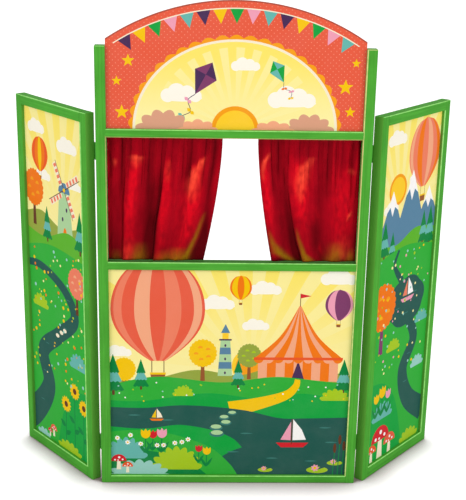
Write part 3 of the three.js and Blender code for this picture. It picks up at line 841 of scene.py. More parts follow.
header = [("coral_ground", rectangle(0.3, -0.02, 0.3)), *under_arch("coral_rim", 0.001, 1.05, 0.0034)]
header += [("sun_rim", frilled(0, 0, 0.2235, 0.1975, 46, 0.035)), ("cream", spot(0, 0, 0.214, 0.188, 80)),
           ("sky", spot(0, 0, 0.2085, 0.183, 80))]
header += rays(0, 0, 0.172, 15)
header += [("sun_rim", wedge(0, 0, 0.05, 0, 180, 26)), ("sun", wedge(0, 0, 0.041, 0, 180, 26))]
header += cloud(-0.112, 0.066, 0.085) + cloud(0.118, 0.058, 0.1) + cloud(0.02, 0.13, 0.06)
header += kite(-0.062, 0.115, 0.075, 62, ("plum", "deep_plum"), ("pink", "yellow", "teal", "red"))
header += kite(0.085, 0.128, 0.05, 118, ("green", "teal"), ("orange", "pink", "yellow"))
header += each(bush, (-0.15, -0.008, 0.12, 0.05, "skin_peach", 6),
               (0.155, -0.008, 0.11, 0.044, "skin_peach", 6),
               (-0.078, -0.01, 0.09, 0.032, "peach", 5), (0.08, -0.01, 0.1, 0.03, "peach", 5))
header += each(star, (-0.236, 0.035, 0.016), (-0.246, 0.1, 0.011), (-0.222, 0.142, 0.014),
               (0.24, 0.04, 0.012), (0.228, 0.092, 0.017), (0.248, 0.142, 0.01))
for i in range(PENNANTS):
    a, b = (math.radians(90 + PENNANT_SWEEP * (1 - 2 * k / PENNANTS)) for k in (i + 0.08, i + 0.92))
    header.append((("deep_plum", "yellow", "green", "pink", "teal")[i % 5],
                   [on_arch(0.017, a), on_arch(0.017, b), on_arch(0.047, (a + b) / 2)]))
header += under_arch("cream", 0.0165, 0.969, 0.0022)

header_outline = [(-header_half, -SHEET_TUCK), (header_half, -SHEET_TUCK)]
header_outline += [on_arch(0, math.pi / 2 - half_sweep + 2 * half_sweep * k / 60) for k in range(61)]
cut_sheet("header_board_print", header, header_outline, "centre_frame",
          Vector((0, header_low.y - SHEET_GLUE - SHEET_THICKNESS, head_top)), acrosses["centre"],
          {"sky": sky_ink("header", head_top, head_top + 0.17),
           "coral_ground": two_inks("ink_coral_dotted", "coral", "coral_dot", dots_share)})

# Wings' pictures: tall landscapes under the same yellow sky. The left one has a windmill over a
# brook and a stand of sunflowers, the right one mountains, a lake with a boat, and toadstools.
SHORT_OF_BOARD = 0.0012


def lay_on_wing(name, shapes):
    """Lays a wing's print on its board. Its x runs to the audience's right, from the board's middle."""
    middle = sum(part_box(f"{name}_wing_board"), Vector()) / 2
    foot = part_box(f"{name}_wing_bottom_rail")[1].z
    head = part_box(f"{name}_wing_top_rail")[0].z
    across = acrosses[name]
    out = out_of(across)
    board = [v.co for v in frame["nodes"][f"{name}_wing_board"].data.vertices]
    face = max(place.dot(out) for place in board)
    half = max(abs((place - middle).dot(across)) for place in board) - SHORT_OF_BOARD
    corner = middle + out * (face - middle.dot(out) + SHEET_GLUE + SHEET_THICKNESS)
    corner.z = foot
    cut_sheet(f"{name}_wing_print", shapes, rectangle(half, -SHEET_TUCK, head - foot + SHEET_TUCK),
              f"{name}_wing", corner, across, {"sky": sky_ink(name, foot + 0.5, head)})


dice = random.Random(11)
left = [("sky", rectangle(0.14, -0.02, 0.84))]
left += rays(0.03, 0.56, 0.45, 13)
left += each(cloud, (-0.07, 0.76, 0.07), (0.055, 0.735, 0.08), (-0.045, 0.655, 0.06), (0.085, 0.655, 0.05))
left += balloon(-0.058, 0.712, 0.034, ("orange", "deep_orange", "orange", "yellow"), 7)
left += hill("olive", (-0.14, 0.555), (-0.06, 0.575), (0.03, 0.55), (0.14, 0.58))
left += round_tree(-0.088, 0.535, 0.13, "orange", "dark_brown", "sun_rim")
left += windmill(0.04, 0.53, 0.17)
left += hill("leaf", (-0.14, 0.53), (-0.05, 0.515), (0.05, 0.545), (0.14, 0.52))
left += pine(-0.035, 0.505, 0.085) + pine(0.1, 0.505, 0.1)
left += hill("meadow", (-0.14, 0.475), (-0.02, 0.5), (0.14, 0.485))
left += band("dark_teal", (-0.15, 0.43, 0.016), (-0.07, 0.44, 0.02), (0.03, 0.405, 0.026),
             (0.07, 0.345, 0.034), (0.0, 0.285, 0.04), (-0.07, 0.225, 0.046), (-0.05, 0.14, 0.054),
             (-0.12, 0.05, 0.07), (-0.2, 0.0, 0.07))
left += ripples(0.018, (0.045, 0.385), (0.03, 0.312), (-0.05, 0.25), (-0.065, 0.175), (-0.08, 0.095))
for x, y in ((0.012, 0.296), (0.027, 0.305), (-0.005, 0.284)):
    left.append(("cream", spot(x, y, 0.0075, 0.005, 14)))
left += round_tree(0.082, 0.36, 0.11, "coral_light", "dark_brown", "peach")
left += bush(-0.075, 0.335, 0.07, 0.034, "lime") + bush(0.08, 0.225, 0.075, 0.04, "teal", 8)
left += hill("green", (-0.02, -0.02), (0.01, 0.09), (0.06, 0.16), (0.14, 0.175))
for x, height in ((0.02, 0.12), (0.058, 0.165), (0.095, 0.135)):
    left += band("deep_green", (x, 0.0, 0.003), (x + 0.004, height, 0.003), steps=3)
    left += [("deep_green", petal(x, height * k, 0.026, 0.013, angle))
             for k, angle in ((0.35, 30), (0.5, 150))]
    left += daisy(x + 0.004, height, 0.021, "yellow", "dark_brown", 13)
left += bush(0.035, -0.012, 0.12, 0.038, "lime", 8) + bush(-0.08, -0.012, 0.075, 0.03, "pale_teal", 6)
left += toadstool(-0.035, 0.012, 0.034, "coral") + toadstool(-0.052, 0.006, 0.024, "red")
for _ in range(110):
    x, y = dice.uniform(-0.115, 0.115), dice.uniform(0.17, 0.5)
    left.append((dice.choice(("yellow", "yellow", "sky_low", "pale_teal", "lime", "orange")),
                 spot(x, y, dice.uniform(0.002, 0.0045), points=8)))
lay_on_wing("left", left)

right = [("sky", rectangle(0.14, -0.02, 0.84))]
right += rays(-0.04, 0.6, 0.4, 13)
right += [("sun_rim", spot(-0.052, 0.655, 0.036)), ("sun", spot(-0.052, 0.655, 0.029))]
right += each(cloud, (-0.065, 0.765, 0.075), (0.02, 0.665, 0.05), (-0.075, 0.61, 0.06))
right += balloon(0.055, 0.735, 0.068, ("coral_light", "peach", "coral_light", "orange"), 9)
for x, height, half in ((-0.07, 0.655, 0.075), (0.085, 0.64, 0.08), (0.01, 0.69, 0.085)):
    right.append(("slate", [(x - half, 0.5), (x, height), (x + half, 0.5)]))
    cap = (height - 0.5) * 0.3
    right.append(("white", [(x - half * 0.3, height - cap), (x, height), (x + half * 0.3, height - cap),
                            (x + half * 0.12, height - cap * 0.8), (x, height - cap * 1.25),
                            (x - half * 0.14, height - cap * 0.75)]))
right += hill("leaf", (-0.14, 0.545), (-0.05, 0.525), (0.04, 0.55), (0.14, 0.53))
right += each(pine, (-0.095, 0.5, 0.09), (-0.062, 0.49, 0.07), (0.07, 0.5, 0.085), (0.1, 0.49, 0.1))
right += hill("meadow", (-0.14, 0.495), (0.0, 0.515), (0.14, 0.49))
right.append(("dark_teal", frilled(0.015, 0.375, 0.082, 0.062, 6, 0.07, 0.3)))
right += band("dark_teal", (-0.03, 0.51, 0.008), (-0.045, 0.475, 0.012), (-0.01, 0.43, 0.02))
right += band("dark_teal", (0.03, 0.33, 0.03), (0.06, 0.27, 0.034), (0.02, 0.2, 0.04), (0.05, 0.12, 0.05),
              (0.13, 0.06, 0.06))
right += ripples(0.02, (-0.02, 0.365), (0.055, 0.39), (0.02, 0.345), (0.045, 0.235), (0.035, 0.165))
right += sailing_boat(0.02, 0.375, 0.06, "pink", ("white", "coral_light"))
right += round_tree(-0.085, 0.27, 0.17, "orange", "plum", "sun_rim")
right += bush(0.09, 0.305, 0.06, 0.03, "teal", 7) + bush(-0.03, 0.265, 0.06, 0.03, "lime")
right += hill("green", (-0.14, 0.2), (-0.06, 0.19), (0.0, 0.12), (0.04, -0.02))
right += bush(-0.06, 0.1, 0.09, 0.045, "teal", 8)
right += each(tulip, (-0.09, 0.11, 0.062, "yellow"), (-0.066, 0.11, 0.075, "yellow"),
              (-0.04, 0.11, 0.06, "pink"))
right += toadstool(-0.062, 0.0, 0.09) + toadstool(-0.02, -0.004, 0.06, "coral")
right += toadstool(-0.098, -0.002, 0.05, "deep_orange")
right += bush(0.07, -0.014, 0.1, 0.045, "lime", 8) + bush(0.085, 0.19, 0.06, 0.03, "pale_teal", 6)
for _ in range(80):
    x, y = dice.uniform(-0.115, 0.115), dice.uniform(0.2, 0.5)
    right.append((dice.choice(("yellow", "sky_low", "pale_teal", "lime", "pink")),
                  spot(x, y, dice.uniform(0.002, 0.004), points=8)))
lay_on_wing("right", right)

# Hinges. Steel butt hinges are screwed to the stiles' backs before spraying, so their leaves,
# knuckles and pins carry the frame's green, chipped here and there to bright metal.
HINGE_GREEN = "#49A636"
HINGE_GREEN_DEEP = "#3D932C"
BRIGHT_STEEL = "#B9BCBE"
CHIPPED_SHARE = 0.5

hinge_enamel, given, result = effect("enamel_over_steel", {
    "Paint": colour(HINGE_GREEN), "Deep": colour(HINGE_GREEN_DEEP), "Steel": colour(BRIGHT_STEEL),
    "Wear": CHIPPED_SHARE}, ("Metal", "Float"))
place = whereabouts(hinge_enamel)
runs = speckle(place, 120.0, 3.0)
bare = between(speckle(place, 420.0, 4.0, 0.65), 0.66, 0.7) * given["Wear"]
coated = mixed(between(runs, 0.35, 0.65), given["Deep"], given["Paint"])
feed(result["Colour"], mixed(bare, coated, given["Steel"]))
feed(result["Roughness"], between(runs, 0.3, 0.7, 0.34, 0.46))
feed(result["Normal"], bump(runs, 0.35, 0.0003))
feed(result["Metal"], bare)

hinge_finish = finish_of("hinge_green", hinge_enamel, {})
metallic = hinge_finish.node_tree.nodes["Principled BSDF"].inputs["Metallic"]
feed(metallic, effect_in(hinge_finish).outputs["Metal"])
for node in frame["nodes"]:
    if node.endswith(("_leaf", "_hinge_pin")):
        finish_node(node, hinge_finish)

# Screws and rod. Zinc-plated countersunk wood screws hold the leaves; each head has a cross
# recess, so a fuller screw stands for the plain one. The rod is drawn steel, brushed lengthwise.
ZINC_BRIGHT = "#C2C5C6"
ZINC_DULL = "#8F9496"
ROD_BRUSHING = (30, 900, 900)
SCREW_BRUSHING = (700, 700, 700)
RECESS_WIDE = 0.0008
RECESS_LONG = 0.0031
RECESS_DEEP = 0.0012
RECESS_NARROWS = 0.45
RECESS_OPENS = 1.5
RIM_SHARE = 0.9

zinc, given, result = effect("plated_steel", {
    "Metal": colour(ZINC_BRIGHT), "Dull": colour(ZINC_DULL), "Brushing": ROD_BRUSHING})
place = whereabouts(zinc)
brushed = speckle(stretched(place, given["Brushing"]), 1.0, 3.0)
patina = speckle(place, 45.0, 4.0)
feed(result["Colour"], mixed(between(patina, 0.4, 0.75), given["Metal"], given["Dull"]))
feed(result["Roughness"], between(brushed, 0.3, 0.7, 0.24, 0.4))
feed(result["Normal"], bump(brushed, 0.2, 0.0001))

finish_node("curtain_rod", finish_of("rod_steel", zinc, {}, Metallic=1.0))
screw_zinc = finish_of("screw_zinc", zinc, {"Brushing": SCREW_BRUSHING}, Metallic=1.0)


def cut_recess(piece, corners):
    """Cuts a tapered slot, given by its eight corners, out of a piece."""
    mesh = bpy.data.meshes.new("recess")
    mesh.from_pydata(corners, [], [(0, 1, 3, 2), (4, 6, 7, 5), (0, 4, 5, 1), (2, 3, 7, 6),
                                   (0, 2, 6, 4), (1, 5, 7, 3)])
    cutter = added("recess", mesh)
    recess = piece.modifiers.new("recess", "BOOLEAN")
    recess.operation = "DIFFERENCE"
    recess.object = cutter
    recess.solver = "EXACT"
    with bpy.context.temp_override(object=piece, active_object=piece):
        bpy.ops.object.modifier_apply(modifier=recess.name)
    bpy.data.objects.remove(cutter)
    bpy.data.meshes.remove(mesh)


def crossed_screw(node, turn):
    """A copy of a CAD screw with a cross recess cut in its head, where the screw lies."""
    source = frame["nodes"][node]
    piece = added(node + "_crossed", source.data.copy())
    piece.data.materials.clear()
    piece.data.materials.append(screw_zinc)
    # The screw's axis runs through its farthest vertex, the tip, and the middle of its head.
    points = np.array([v.co for v in source.data.vertices])
    tip = points[np.argmax(np.linalg.norm(points - points.mean(0), axis=1))]
    from_tip = np.linalg.norm(points - tip, axis=1)
    head = points[from_tip > RIM_SHARE * from_tip.max()].mean(0)
    along = Vector(head - tip).normalized()
    level = Vector((0, 0, 1))
    spin = Matrix.Rotation(turn, 3, along)
    arms = [spin @ along.cross(level).normalized(), spin @ level]
    for first, second in (arms, arms[::-1]):
        cut_recess(piece, [Vector(head) + first * a * RECESS_LONG / 2 * share + second * b * RECESS_WIDE / 2
                           + along * lift
                           for a in (-1, 1) for b in (-1, 1)
                           for lift, share in ((-RECESS_DEEP, RECESS_NARROWS), (RECESS_DEEP, RECESS_OPENS))])
    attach(piece, source["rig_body"])
    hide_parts(node)


dice = random.Random(3)
for node in sorted(n for n in frame["nodes"] if "_screw_" in n):
    crossed_screw(node, dice.uniform(0, math.pi / 2))

# Curtains. Each is crimson satin, hemmed all round, with a channel sewn along its head that
# runs on the rod. It hangs in small gathers from the channel, which open into a few deep folds,
# and its free edge leans back towards the foot. The hem just clears the sill. Light is painted into
# the red: painted highlights on the fold ridges, hot orange painted highlights, painted shade in the
# valleys, under the head rail and towards the hem, and painted gold reflections near the hem.
# Satin colours: its red; a deep red for random tone and for painted shade; and the colours of its painted
# highlights, hot painted highlights and painted gold reflections.
SATIN_RED = "#9C0418"
SATIN_DEEP_AND_PAINTED_SHADE = "#360005"
SATIN_PAINTED_HIGHLIGHT = "#DC081E"
SATIN_PAINTED_HOT_HIGHLIGHT = "#FA5238"
SATIN_PAINTED_GOLD_REFLECTION = "#8C6A0A"
SATIN_TINT = "#FF6050"
SATIN_METALLIC = 0.4
SATIN_SHINE = 0.2
CLOTH_THICKNESS = 0.0006
CHANNEL_RADIUS = 0.0046
CHANNEL_FIRST = -40
CHANNEL_LAST = 220
CHANNEL_ROWS = 12
STITCH_DROP = 0.0125
STITCH_LAP = 0.001
TURNOVER_DROP = 0.019
TURNOVER_LAP = 0.0014
GATHERS = 11
GATHER_DEPTH = 0.0018
GATHER_PAINTED_HIGHLIGHT = 0.2
GATHER_PAINTED_SHADE = 0.3
PAINTED_HOT_LIMIT = 0.8
PAINTED_HIGHLIGHT_LIMIT = 0.95
PAINTED_SHADE_LIMIT = 0.85
PAINTED_REFLECTION_LIMIT = 0.9
COLUMNS = 210
ROWS = 120
PARTING_POWER = 1.5
FOREMOST = -0.0056
REARMOST = 0.0095
FALL_LINE = 0.0045
EDGE_REACH = 0.2687

satin, given, result = effect("satin_weave", {
    "Red": colour(SATIN_RED), "Deep": colour(SATIN_DEEP_AND_PAINTED_SHADE), "Bright": colour(SATIN_PAINTED_HIGHLIGHT),
    "Painted Hot Highlight": colour(SATIN_PAINTED_HOT_HIGHLIGHT), "Painted Gold Reflection": colour(SATIN_PAINTED_GOLD_REFLECTION)})
cloth = Value(put(satin, "ShaderNodeUVMap", uv_map="cloth").outputs[0])
warp = Value(put(satin, "ShaderNodeTexWave", stretched(cloth, (3600, 0, 0)), 1.0).outputs[1])
weft = Value(put(satin, "ShaderNodeTexWave", stretched(cloth, (0, 1500, 0)), 1.0,
                 bands_direction="Y").outputs[1])
slub = speckle(stretched(cloth, (900, 30, 0)), 1.0, 3.0)
drift = speckle(stretched(cloth, (30, 12, 0)), 1.0, 4.0, 0.6)
creases = speckle(stretched(cloth, (150, 60, 0)), 1.0, 4.0, 0.65)
crinkled = between(creases, 0.3, 0.6, 0.7, 1.0)
# The attribute carries painted highlights, painted shade, painted gold reflections and hot painted
# highlights, one to a channel.
painted_light = put(satin, "ShaderNodeAttribute", attribute_name="painted_light").outputs
painted_highlight, painted_shade, painted_gold_reflection = (Value(s) for s in put(satin, "ShaderNodeSeparateColor", painted_light["Color"]).outputs)
painted_hot_highlight = Value(painted_light["Alpha"])
toned = given["Red"]
# Random drift and slubs deepen the red; the painted light from the attribute lies over it.
for share, tone in ((between(drift, 0.4, 0.7, 0.0, 0.3), "Deep"), (painted_highlight * crinkled, "Bright"),
                    (painted_shade, "Deep"), (painted_hot_highlight * crinkled, "Painted Hot Highlight"), (painted_gold_reflection * crinkled, "Painted Gold Reflection"),
                    (between(slub, 0.55, 0.8, 0.0, 0.2), "Deep")):
    toned = mixed(share, toned, given[tone])
feed(result["Colour"], toned)
feed(result["Roughness"], between(slub, 0.3, 0.7, 0.34, 0.44))
feed(result["Normal"], bump(warp * 0.2 + weft * 0.3 + creases * 8.0, 0.5, 0.0003))

satin_finish = finish_of("crimson_satin", satin, {}, Metallic=SATIN_METALLIC,
                         Specular_IOR_Level=SATIN_SHINE, Specular_Tint=colour(SATIN_TINT))


def smooth(value, low, high):
    t = np.clip((value - low) / (high - low), 0, 1)
    return t * t * (3 - 2 * t)


def bell(value, middle, width):
    return np.exp(-((value - middle) / width) ** 2)


def crumple(u, t, across, along, seed):
    """Seeded noise over the cloth, as fine creases or broad slackness."""
    return np.array([[noise.noise(Vector((a * across, b * along, seed))) for a in u[0]] for b in t[:, 0]])


def followed(t, course):
    """What each column of a course comes to, in shares, at every t down the cloth."""
    shares = np.array(course) / 100
    return [np.interp(t, shares[:, 0], column) for column in shares.T[1:]]


def stroke(u, t, course):
    """A soft line down the cloth."""
    middle, wide, strong = followed(t, course)
    return strong * bell(u, middle, wide)


def curtain(name, side, foot_parting, seed, folds, painted_sheen):
    """Shapes, finishes and hangs one curtain.

    Courses run down the cloth in hundredths: t of the fall from the stitches to the hem, and u of
    the width from the audience's left. A fold is (depth, width of its steep left flank, width of
    its soft right flank, its left edge as a course of (t, u)). Painted sheen is {kind: courses of (t, u,
    half width, strength)}, for the painted highlights, hot painted highlights, painted shade and painted
    gold reflections laid along the satin's folds.
    """
    low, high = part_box(name)
    rod = sum(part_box("curtain_rod"), Vector()) / 2
    head_parting = min(abs(low.x), abs(high.x))
    hem = low.z
    stitch = rod.z - STITCH_DROP
    dice = np.random.default_rng(seed)

    u = np.linspace(0, 1, COLUMNS + 1)[None, :]
    t = np.linspace(0, 1, ROWS + 1)[:, None]
    bends = (np.arange(1, GATHERS) + dice.uniform(-0.3, 0.3, GATHERS - 1)) / GATHERS
    phase = 2 * np.pi * np.interp(u, [0, *bends, 1], np.arange(GATHERS + 1))
    swell = 1 + 0.4 * np.sin(0.37 * phase + seed)
    gather = np.sin(phase + 1.4 * t + 0.5 * crumple(u, t, 6, 4, seed))
    short = 1 - smooth(t, 0.15, 0.35 + 0.3 * np.abs(np.sin(0.61 * phase + seed)))

    shift = 0.012 * (1 - smooth(t, 0.1, 0.5)) * np.sin(2 * phase + 2.5 * t)
    forward = GATHER_DEPTH * (0.12 + 0.88 * short) * smooth(t, -0.1, 0.05) * swell * gather
    full = smooth(t, 0.04, 0.3)
    for depth, steep, soft, edge in folds:
        past = u - followed(t, edge)[0]
        forward = forward - depth * full * np.where(past < 0, bell(past, 0, steep), bell(past, 0, soft))
        shift = shift - 0.02 * full * bell(past, 0.012, 0.03)
    lights = {kind: sum(stroke(u, t, course) for course in courses) for kind, courses in painted_sheen.items()}
    ragged = 1 + 0.9 * crumple(u, t, 30, 16, seed + 3)
    # Painted highlights along the gather ridges and the painted sheen's courses.
    painted_highlight = GATHER_PAINTED_HIGHLIGHT * bell(gather, -0.8, 0.3) * short * smooth(t, -0.04, 0.06) * swell
    painted_highlight = painted_highlight + lights["painted_highlight"] * ragged
    # Hot painted highlights along the painted sheen's courses.
    painted_hot_highlight = np.clip(PAINTED_HOT_LIMIT * lights["painted_hot_highlight"] * ragged, 0, PAINTED_HOT_LIMIT)
    # Painted shade in the gather valleys, under the head rail, towards the hem and along the painted sheen's
    # courses.
    painted_shade = GATHER_PAINTED_SHADE * bell(gather, 1, 0.55) * short + 0.14 * (1 - smooth(t, 0.0, 0.3))
    painted_shade = painted_shade + 0.3 * smooth(t, 0.5, 0.95) + lights["painted_shade"]
    slack = 0.0009 * crumple(u, t, 26, 5, seed) + 0.0013 * crumple(u, t, 9, 9, -seed)
    forward = forward - 0.0025 * painted_hot_highlight + smooth(t, 0, 0.12) * slack
    plane = rod.y + (FALL_LINE - rod.y) * smooth(t, 0, 0.5)

    parting = head_parting + (foot_parting - head_parting) * t ** PARTING_POWER
    left, right = (-EDGE_REACH, -parting) if side < 0 else (parting, EDGE_REACH)
    x = np.clip(left + (right - left) * (u + shift * 4 * u * (1 - u)), -EDGE_REACH, EDGE_REACH)
    y = np.clip(plane + forward, FOREMOST, REARMOST)
    z = stitch + (hem - stitch) * t + 0 * u
    front = np.stack([x, y, z], axis=-1)

    # The channel runs from its turned-down edge, up behind the rod and over it, to the stitches.
    round_rod = CHANNEL_RADIUS + 0.0004 * np.sin(2.7 * phase[0] + seed)
    channel = [(y[0] + lap, level + 0 * x[0])
               for lap, level in ((TURNOVER_LAP, rod.z - TURNOVER_DROP), (STITCH_LAP, stitch))]
    channel += [(rod.y + round_rod * math.cos(turn), rod.z + round_rod * math.sin(turn))
                for turn in np.radians(np.linspace(CHANNEL_FIRST, CHANNEL_LAST, CHANNEL_ROWS + 1))]
    channel = [np.column_stack([x[0], deep, level]) for deep, level in channel]

    points = np.concatenate([channel, front])
    # The attribute's channels: painted highlight, painted shade, painted gold reflection and hot painted
    # highlight.
    masks = np.stack([np.clip(painted_highlight, 0, PAINTED_HIGHLIGHT_LIMIT), np.clip(painted_shade, 0, PAINTED_SHADE_LIMIT),
                      np.clip(lights["painted_gold_reflection"], 0, PAINTED_REFLECTION_LIMIT), painted_hot_highlight], axis=-1)
    masks = np.concatenate([np.repeat(masks[:1], len(channel), axis=0), masks])
    rows, count = points.shape[:2]
    faces = [(r * count + c, (r + 1) * count + c, (r + 1) * count + c + 1, r * count + c + 1)
             for r in range(rows - 1) for c in range(count - 1)]
    mesh = bpy.data.meshes.new(name + "_satin")
    mesh.from_pydata(points.reshape(-1, 3).tolist(), [], faces)
    painted_light = mesh.color_attributes.new("painted_light", "FLOAT_COLOR", "POINT")
    painted_light.data.foreach_set("color", masks.astype(np.float32).ravel())
    cut_width = np.linalg.norm(np.diff(front[ROWS * 3 // 4, :, :2], axis=0), axis=1).sum()
    fall = np.cumsum([0, *np.linalg.norm(np.diff(points[:, count // 2], axis=0), axis=1)])
    flat_places = np.stack(np.meshgrid(np.linspace(0, cut_width, count), -fall), axis=-1).reshape(-1, 2)
    loops = np.zeros(len(mesh.loops), int)
    mesh.loops.foreach_get("vertex_index", loops)
    mesh.uv_layers.new(name="cloth").data.foreach_set("uv", flat_places[loops].astype(np.float32).ravel())
    mesh.materials.append(satin_finish)
    mesh.shade_smooth()
    piece = added(name + "_satin", mesh)
    thicken(piece, "cloth", CLOTH_THICKNESS, 0)
    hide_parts(name)
    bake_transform(piece)


curtain("left_curtain", -1, 0.063, 4, [
    (0.0066, 0.022, 0.12, [(0, 22), (50, 16.5), (100, 17)]),
    (0.0078, 0.022, 0.15, [(0, 53), (50, 51), (70, 48.5), (100, 49)]),
    (0.006, 0.05, 0.09, [(0, 86), (30, 76), (75, 77), (100, 72)]),
], {
    "painted_highlight": [
        [(8, 24, 3, 0), (18, 25, 4, 80), (50, 22, 4, 90), (75, 21, 4.5, 55), (100, 21, 5, 75)],
        [(12, 54.5, 2, 0), (25, 55, 2.5, 90), (50, 54, 3.5, 80), (80, 52, 4, 60), (100, 52, 5, 45)],
        [(15, 66, 8, 0), (40, 66, 8, 12), (100, 62, 8, 12)],
        [(10, 86, 2, 0), (20, 80, 4, 80), (50, 79, 7, 95), (75, 77, 6, 85), (95, 71, 5, 50)],
        [(20, 97, 2, 0), (35, 97, 3, 30), (60, 97, 2, 0)],
    ],
    "painted_hot_highlight": [
        [(11, 24, 2, 0), (13.5, 26, 4.5, 85), (17, 26, 3, 50), (24, 25, 2, 0)],
        [(14, 7, 2, 0), (18, 7, 1.8, 40), (23, 6.5, 1.5, 0)],
        [(15, 54.5, 1.5, 0), (22, 55, 1.8, 30), (35, 55, 2, 0)],
        [(12, 86, 1.2, 0), (16, 83.5, 2, 70), (25, 78.5, 3.5, 85), (38, 77, 4.5, 75), (52, 79, 3, 0)],
        [(80, 20, 5, 0), (100, 21, 6, 30)],
    ],
    "painted_shade": [
        [(0, 14, 4, 30), (30, 14, 4, 40), (60, 8, 6, 20), (100, 8, 7, 40)],
        [(5, 39, 5, 10), (40, 40, 7, 60), (75, 41, 7, 85), (100, 42, 6, 130)],
        [(10, 50, 2, 30), (50, 48, 2.5, 60), (100, 46, 2.5, 100)],
        [(5, 72, 4, 20), (25, 71, 4, 50), (45, 70, 3, 10)],
        [(10, 93, 5, 30), (50, 93, 4, 50), (80, 95, 5, 85), (100, 92, 8, 120)],
        [(0, 50, 900, 0), (97.5, 50, 900, 0), (100, 50, 900, 50)],
    ],
    "painted_gold_reflection": [
        [(58, 92, 1.6, 0), (66, 90, 1.8, 35), (80, 86.8, 2, 55), (99, 80, 3, 85)],
        [(88, 72, 8, 0), (98, 72, 9, 75), (100, 72, 9, 70)],
        [(90, 58, 5, 0), (100, 58, 7, 45)],
        [(84, 32, 5, 0), (97, 31, 7, 60), (100, 31, 7, 60)],
        [(90, 8, 5, 0), (100, 8, 5, 30)],
    ],
})
curtain("right_curtain", 1, 0.085, 9, [
    (0.0056, 0.03, 0.1, [(0, 2), (100, 3)]),
    (0.0078, 0.03, 0.15, [(0, 30), (23, 27.8), (50, 30.6), (70, 32.4), (85, 34.5), (100, 39)]),
    (0.0056, 0.07, 0.12, [(0, 80), (50, 78), (100, 74)]),
], {
    "painted_highlight": [
        [(8, 9, 2, 0), (16, 5, 3, 60), (30, 5, 4, 90), (55, 6, 4, 80), (80, 6, 4, 20)],
        [(10, 44, 4, 0), (20, 40, 8, 70), (35, 40, 8, 100), (50, 40, 7, 90), (70, 40, 6, 35),
         (90, 44, 5, 20)],
        [(0, 30, 2, 0), (12, 33, 3, 30), (25, 33, 3, 30), (40, 33, 3, 0)],
        [(15, 83, 8, 0), (30, 84, 12, 45), (65, 84, 12, 50), (85, 80, 11, 40), (100, 80, 10, 30)],
        [(82, 57, 2, 0), (89, 58, 3, 70), (97, 62, 2, 0)],
        [(50, 56, 5, 0), (62, 56, 5, 30), (70, 55, 5, 0)],
    ],
    "painted_hot_highlight": [
        [(8, 11, 1, 0), (11, 10, 1.8, 70), (16, 5.5, 1.8, 85), (24, 3.5, 1.6, 50), (34, 3.5, 1.2, 0)],
        [(11, 54, 1.2, 0), (13.5, 52, 3, 60), (20, 45, 4.5, 85), (32, 41, 5, 85), (42, 40, 3.5, 60),
         (52, 40, 2, 0)],
        [(20, 90, 2, 0), (23.5, 92, 4, 40), (27, 94, 2, 0)],
        [(56, 94, 0.8, 0), (60, 91.5, 1.8, 70), (66, 88, 1, 0)],
        [(75, 85, 8, 0), (95, 85, 10, 20), (100, 85, 10, 20)],
    ],
    "painted_shade": [
        [(10, 17, 3, 20), (35, 14, 3, 45), (60, 17, 3, 20)],
        [(10, 24, 3, 30), (50, 25, 5, 55), (80, 28, 6, 75), (100, 33, 6, 120)],
        [(10, 62, 3, 30), (40, 62, 4, 30), (70, 56, 7, 45), (85, 55, 7, 40), (100, 62, 5, 30)],
        [(5, 70, 3, 20), (30, 69, 3, 40), (50, 68, 3, 0)],
        [(0, 99, 3, 50), (20, 99, 2, 10), (100, 99, 3, 40)],
        [(94, 80, 5, 0), (100, 80, 7, 90)],
        [(96, 10, 9, 0), (100, 10, 9, 90)],
    ],
    "painted_gold_reflection": [
        [(72, 3, 1.5, 0), (84, 5, 3, 60), (93, 11, 6, 90), (100, 24, 5, 80)],
        [(70, 34.5, 1.2, 0), (80, 36, 1.4, 40), (93, 40, 2, 80), (100, 45, 6, 90)],
        [(82, 77, 6, 0), (93, 77, 8, 60), (100, 72, 8, 60)],
        [(88, 94, 3, 0), (100, 93, 5, 70)],
    ],
})

# Floor. A plain pale ground for the theatre to stand on. The camera sees it lifted to white,
# apart from the soft shadow that gathers close to the theatre's feet.
FLOOR_WHITE = "#F6F0F3"
FLOOR_SHADED = "#A08C8C"
FLOOR_HALF = 40.0
FLOOR_LIFT = 0.62
FLOOR_ROUGHNESS = 0.9
FLOOR_SHINE = 0.1
SHADOW_REACH = 0.125
SHADOW_REACH_AT_WINGS = 0.085
SHADOW_NARROWS = (0.28, 0.42)
SHADOW_FADES = (0.43, 0.93)
SHADOW_SAMPLES = 24


def seen(tree):
    """One for rays from the camera or off a glossy or clear surface, and zero for those that light."""
    ray = put(tree, "ShaderNodeLightPath").outputs
    return maths("MAXIMUM", ray["Is Camera Ray"],
                 maths("MAXIMUM", ray["Is Glossy Ray"], ray["Is Transmission Ray"]))


floor_material = bpy.data.materials.new("pale_floor")
floor_material.use_nodes = True
tree = floor_material.node_tree
principled = tree.nodes["Principled BSDF"]
feed(principled.inputs["Roughness"], FLOOR_ROUGHNESS)
feed(principled.inputs["Specular IOR Level"], FLOOR_SHINE)
to_side = maths("ABSOLUTE", parts(whereabouts(tree))[0])
reach = between(to_side, *SHADOW_NARROWS, SHADOW_REACH, SHADOW_REACH_AT_WINGS)
overhead = put(tree, "ShaderNodeAmbientOcclusion", (1, 1, 1, 1), reach,
               samples=SHADOW_SAMPLES).outputs["AO"]
clear = Value(put(tree, "ShaderNodeMapRange", overhead, *SHADOW_FADES).outputs[0])
feed(principled.inputs["Base Color"], mixed(clear, colour(FLOOR_SHADED), colour(FLOOR_WHITE)))
glow = put(tree, "ShaderNodeEmission", (1, 1, 1, 1), seen(tree) * clear * FLOOR_LIFT).outputs[0]
lifted = put(tree, "ShaderNodeAddShader", principled.outputs[0], glow).outputs[0]
feed(tree.nodes["Material Output"].inputs["Surface"], lifted)
mesh = bpy.data.meshes.new("floor")
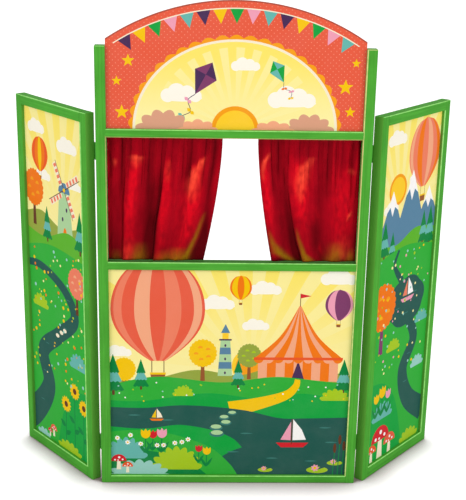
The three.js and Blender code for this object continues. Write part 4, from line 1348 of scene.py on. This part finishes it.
mesh.from_pydata([(*corner, 0) for corner in rectangle(FLOOR_HALF, -FLOOR_HALF, FLOOR_HALF)], [],
                 [(0, 1, 2, 3)])
mesh.materials.append(floor_material)
floor = added("floor", mesh)

# Light. A plain white room, with a large soft lamp high on each side of the camera, so that
# colours render about as they are written.
ROOM_LIGHT = 0.66
LAMP_SIZE = 1.6
LAMP_TARGET = (0, 0, 0.6)

world = bpy.data.worlds.new("studio")
bpy.context.scene.world = world
world.use_nodes = True
tree = world.node_tree
tree.nodes.clear()
room, white = (put(tree, "ShaderNodeBackground", (1, 1, 1, 1), power).outputs[0] for power in (ROOM_LIGHT, 1))
chosen = put(tree, "ShaderNodeMixShader", seen(tree), room, white).outputs[0]
put(tree, "ShaderNodeOutputWorld", chosen)


def lamp(name, place, power):
    data = bpy.data.lights.new(name, "AREA")
    data.shape = "SQUARE"
    data.size = LAMP_SIZE
    data.energy = power
    made = added(name, data)
    made.location = place
    made.rotation_euler = (Vector(LAMP_TARGET) - Vector(place)).to_track_quat("-Z", "Y").to_euler()


lamp("soft_left", (-2.7, -2.3, 2.2), 33)
lamp("soft_right", (2.7, -2.3, 2.0), 34)

# Camera. It stands in front of the theatre and a little left of its middle, higher than the arch,
# and looks slightly down. Its focal length is in pixels of a picture that is 500 pixels high.
CAMERA_PLACE = (-0.07681, -2.35819, 1.3306)
CAMERA_YAW = 0.03299
CAMERA_PITCH = -0.31488
CAMERA_ROLL = 0.01936
FOCAL_PIXELS = 1144.15
IMAGE_HEIGHT = 500
SENSOR = 36.0

ahead = Vector((math.sin(CAMERA_YAW) * math.cos(CAMERA_PITCH), math.cos(CAMERA_YAW) * math.cos(CAMERA_PITCH),
                math.sin(CAMERA_PITCH)))
level = Vector((math.cos(CAMERA_YAW), -math.sin(CAMERA_YAW), 0))
above = level.cross(ahead)
rightward = level * math.cos(CAMERA_ROLL) + above * math.sin(CAMERA_ROLL)
upward = above * math.cos(CAMERA_ROLL) - level * math.sin(CAMERA_ROLL)
camera_data = bpy.data.cameras.new("camera")
camera_data.sensor_width = SENSOR
camera_data.lens = FOCAL_PIXELS / IMAGE_HEIGHT * SENSOR
camera = added("camera", camera_data)
turned = Matrix((rightward, upward, -ahead)).transposed().to_4x4()
camera.matrix_world = Matrix.Translation(CAMERA_PLACE) @ turned
bpy.context.scene.camera = camera
bpy.context.scene.view_settings.view_transform = "Standard"
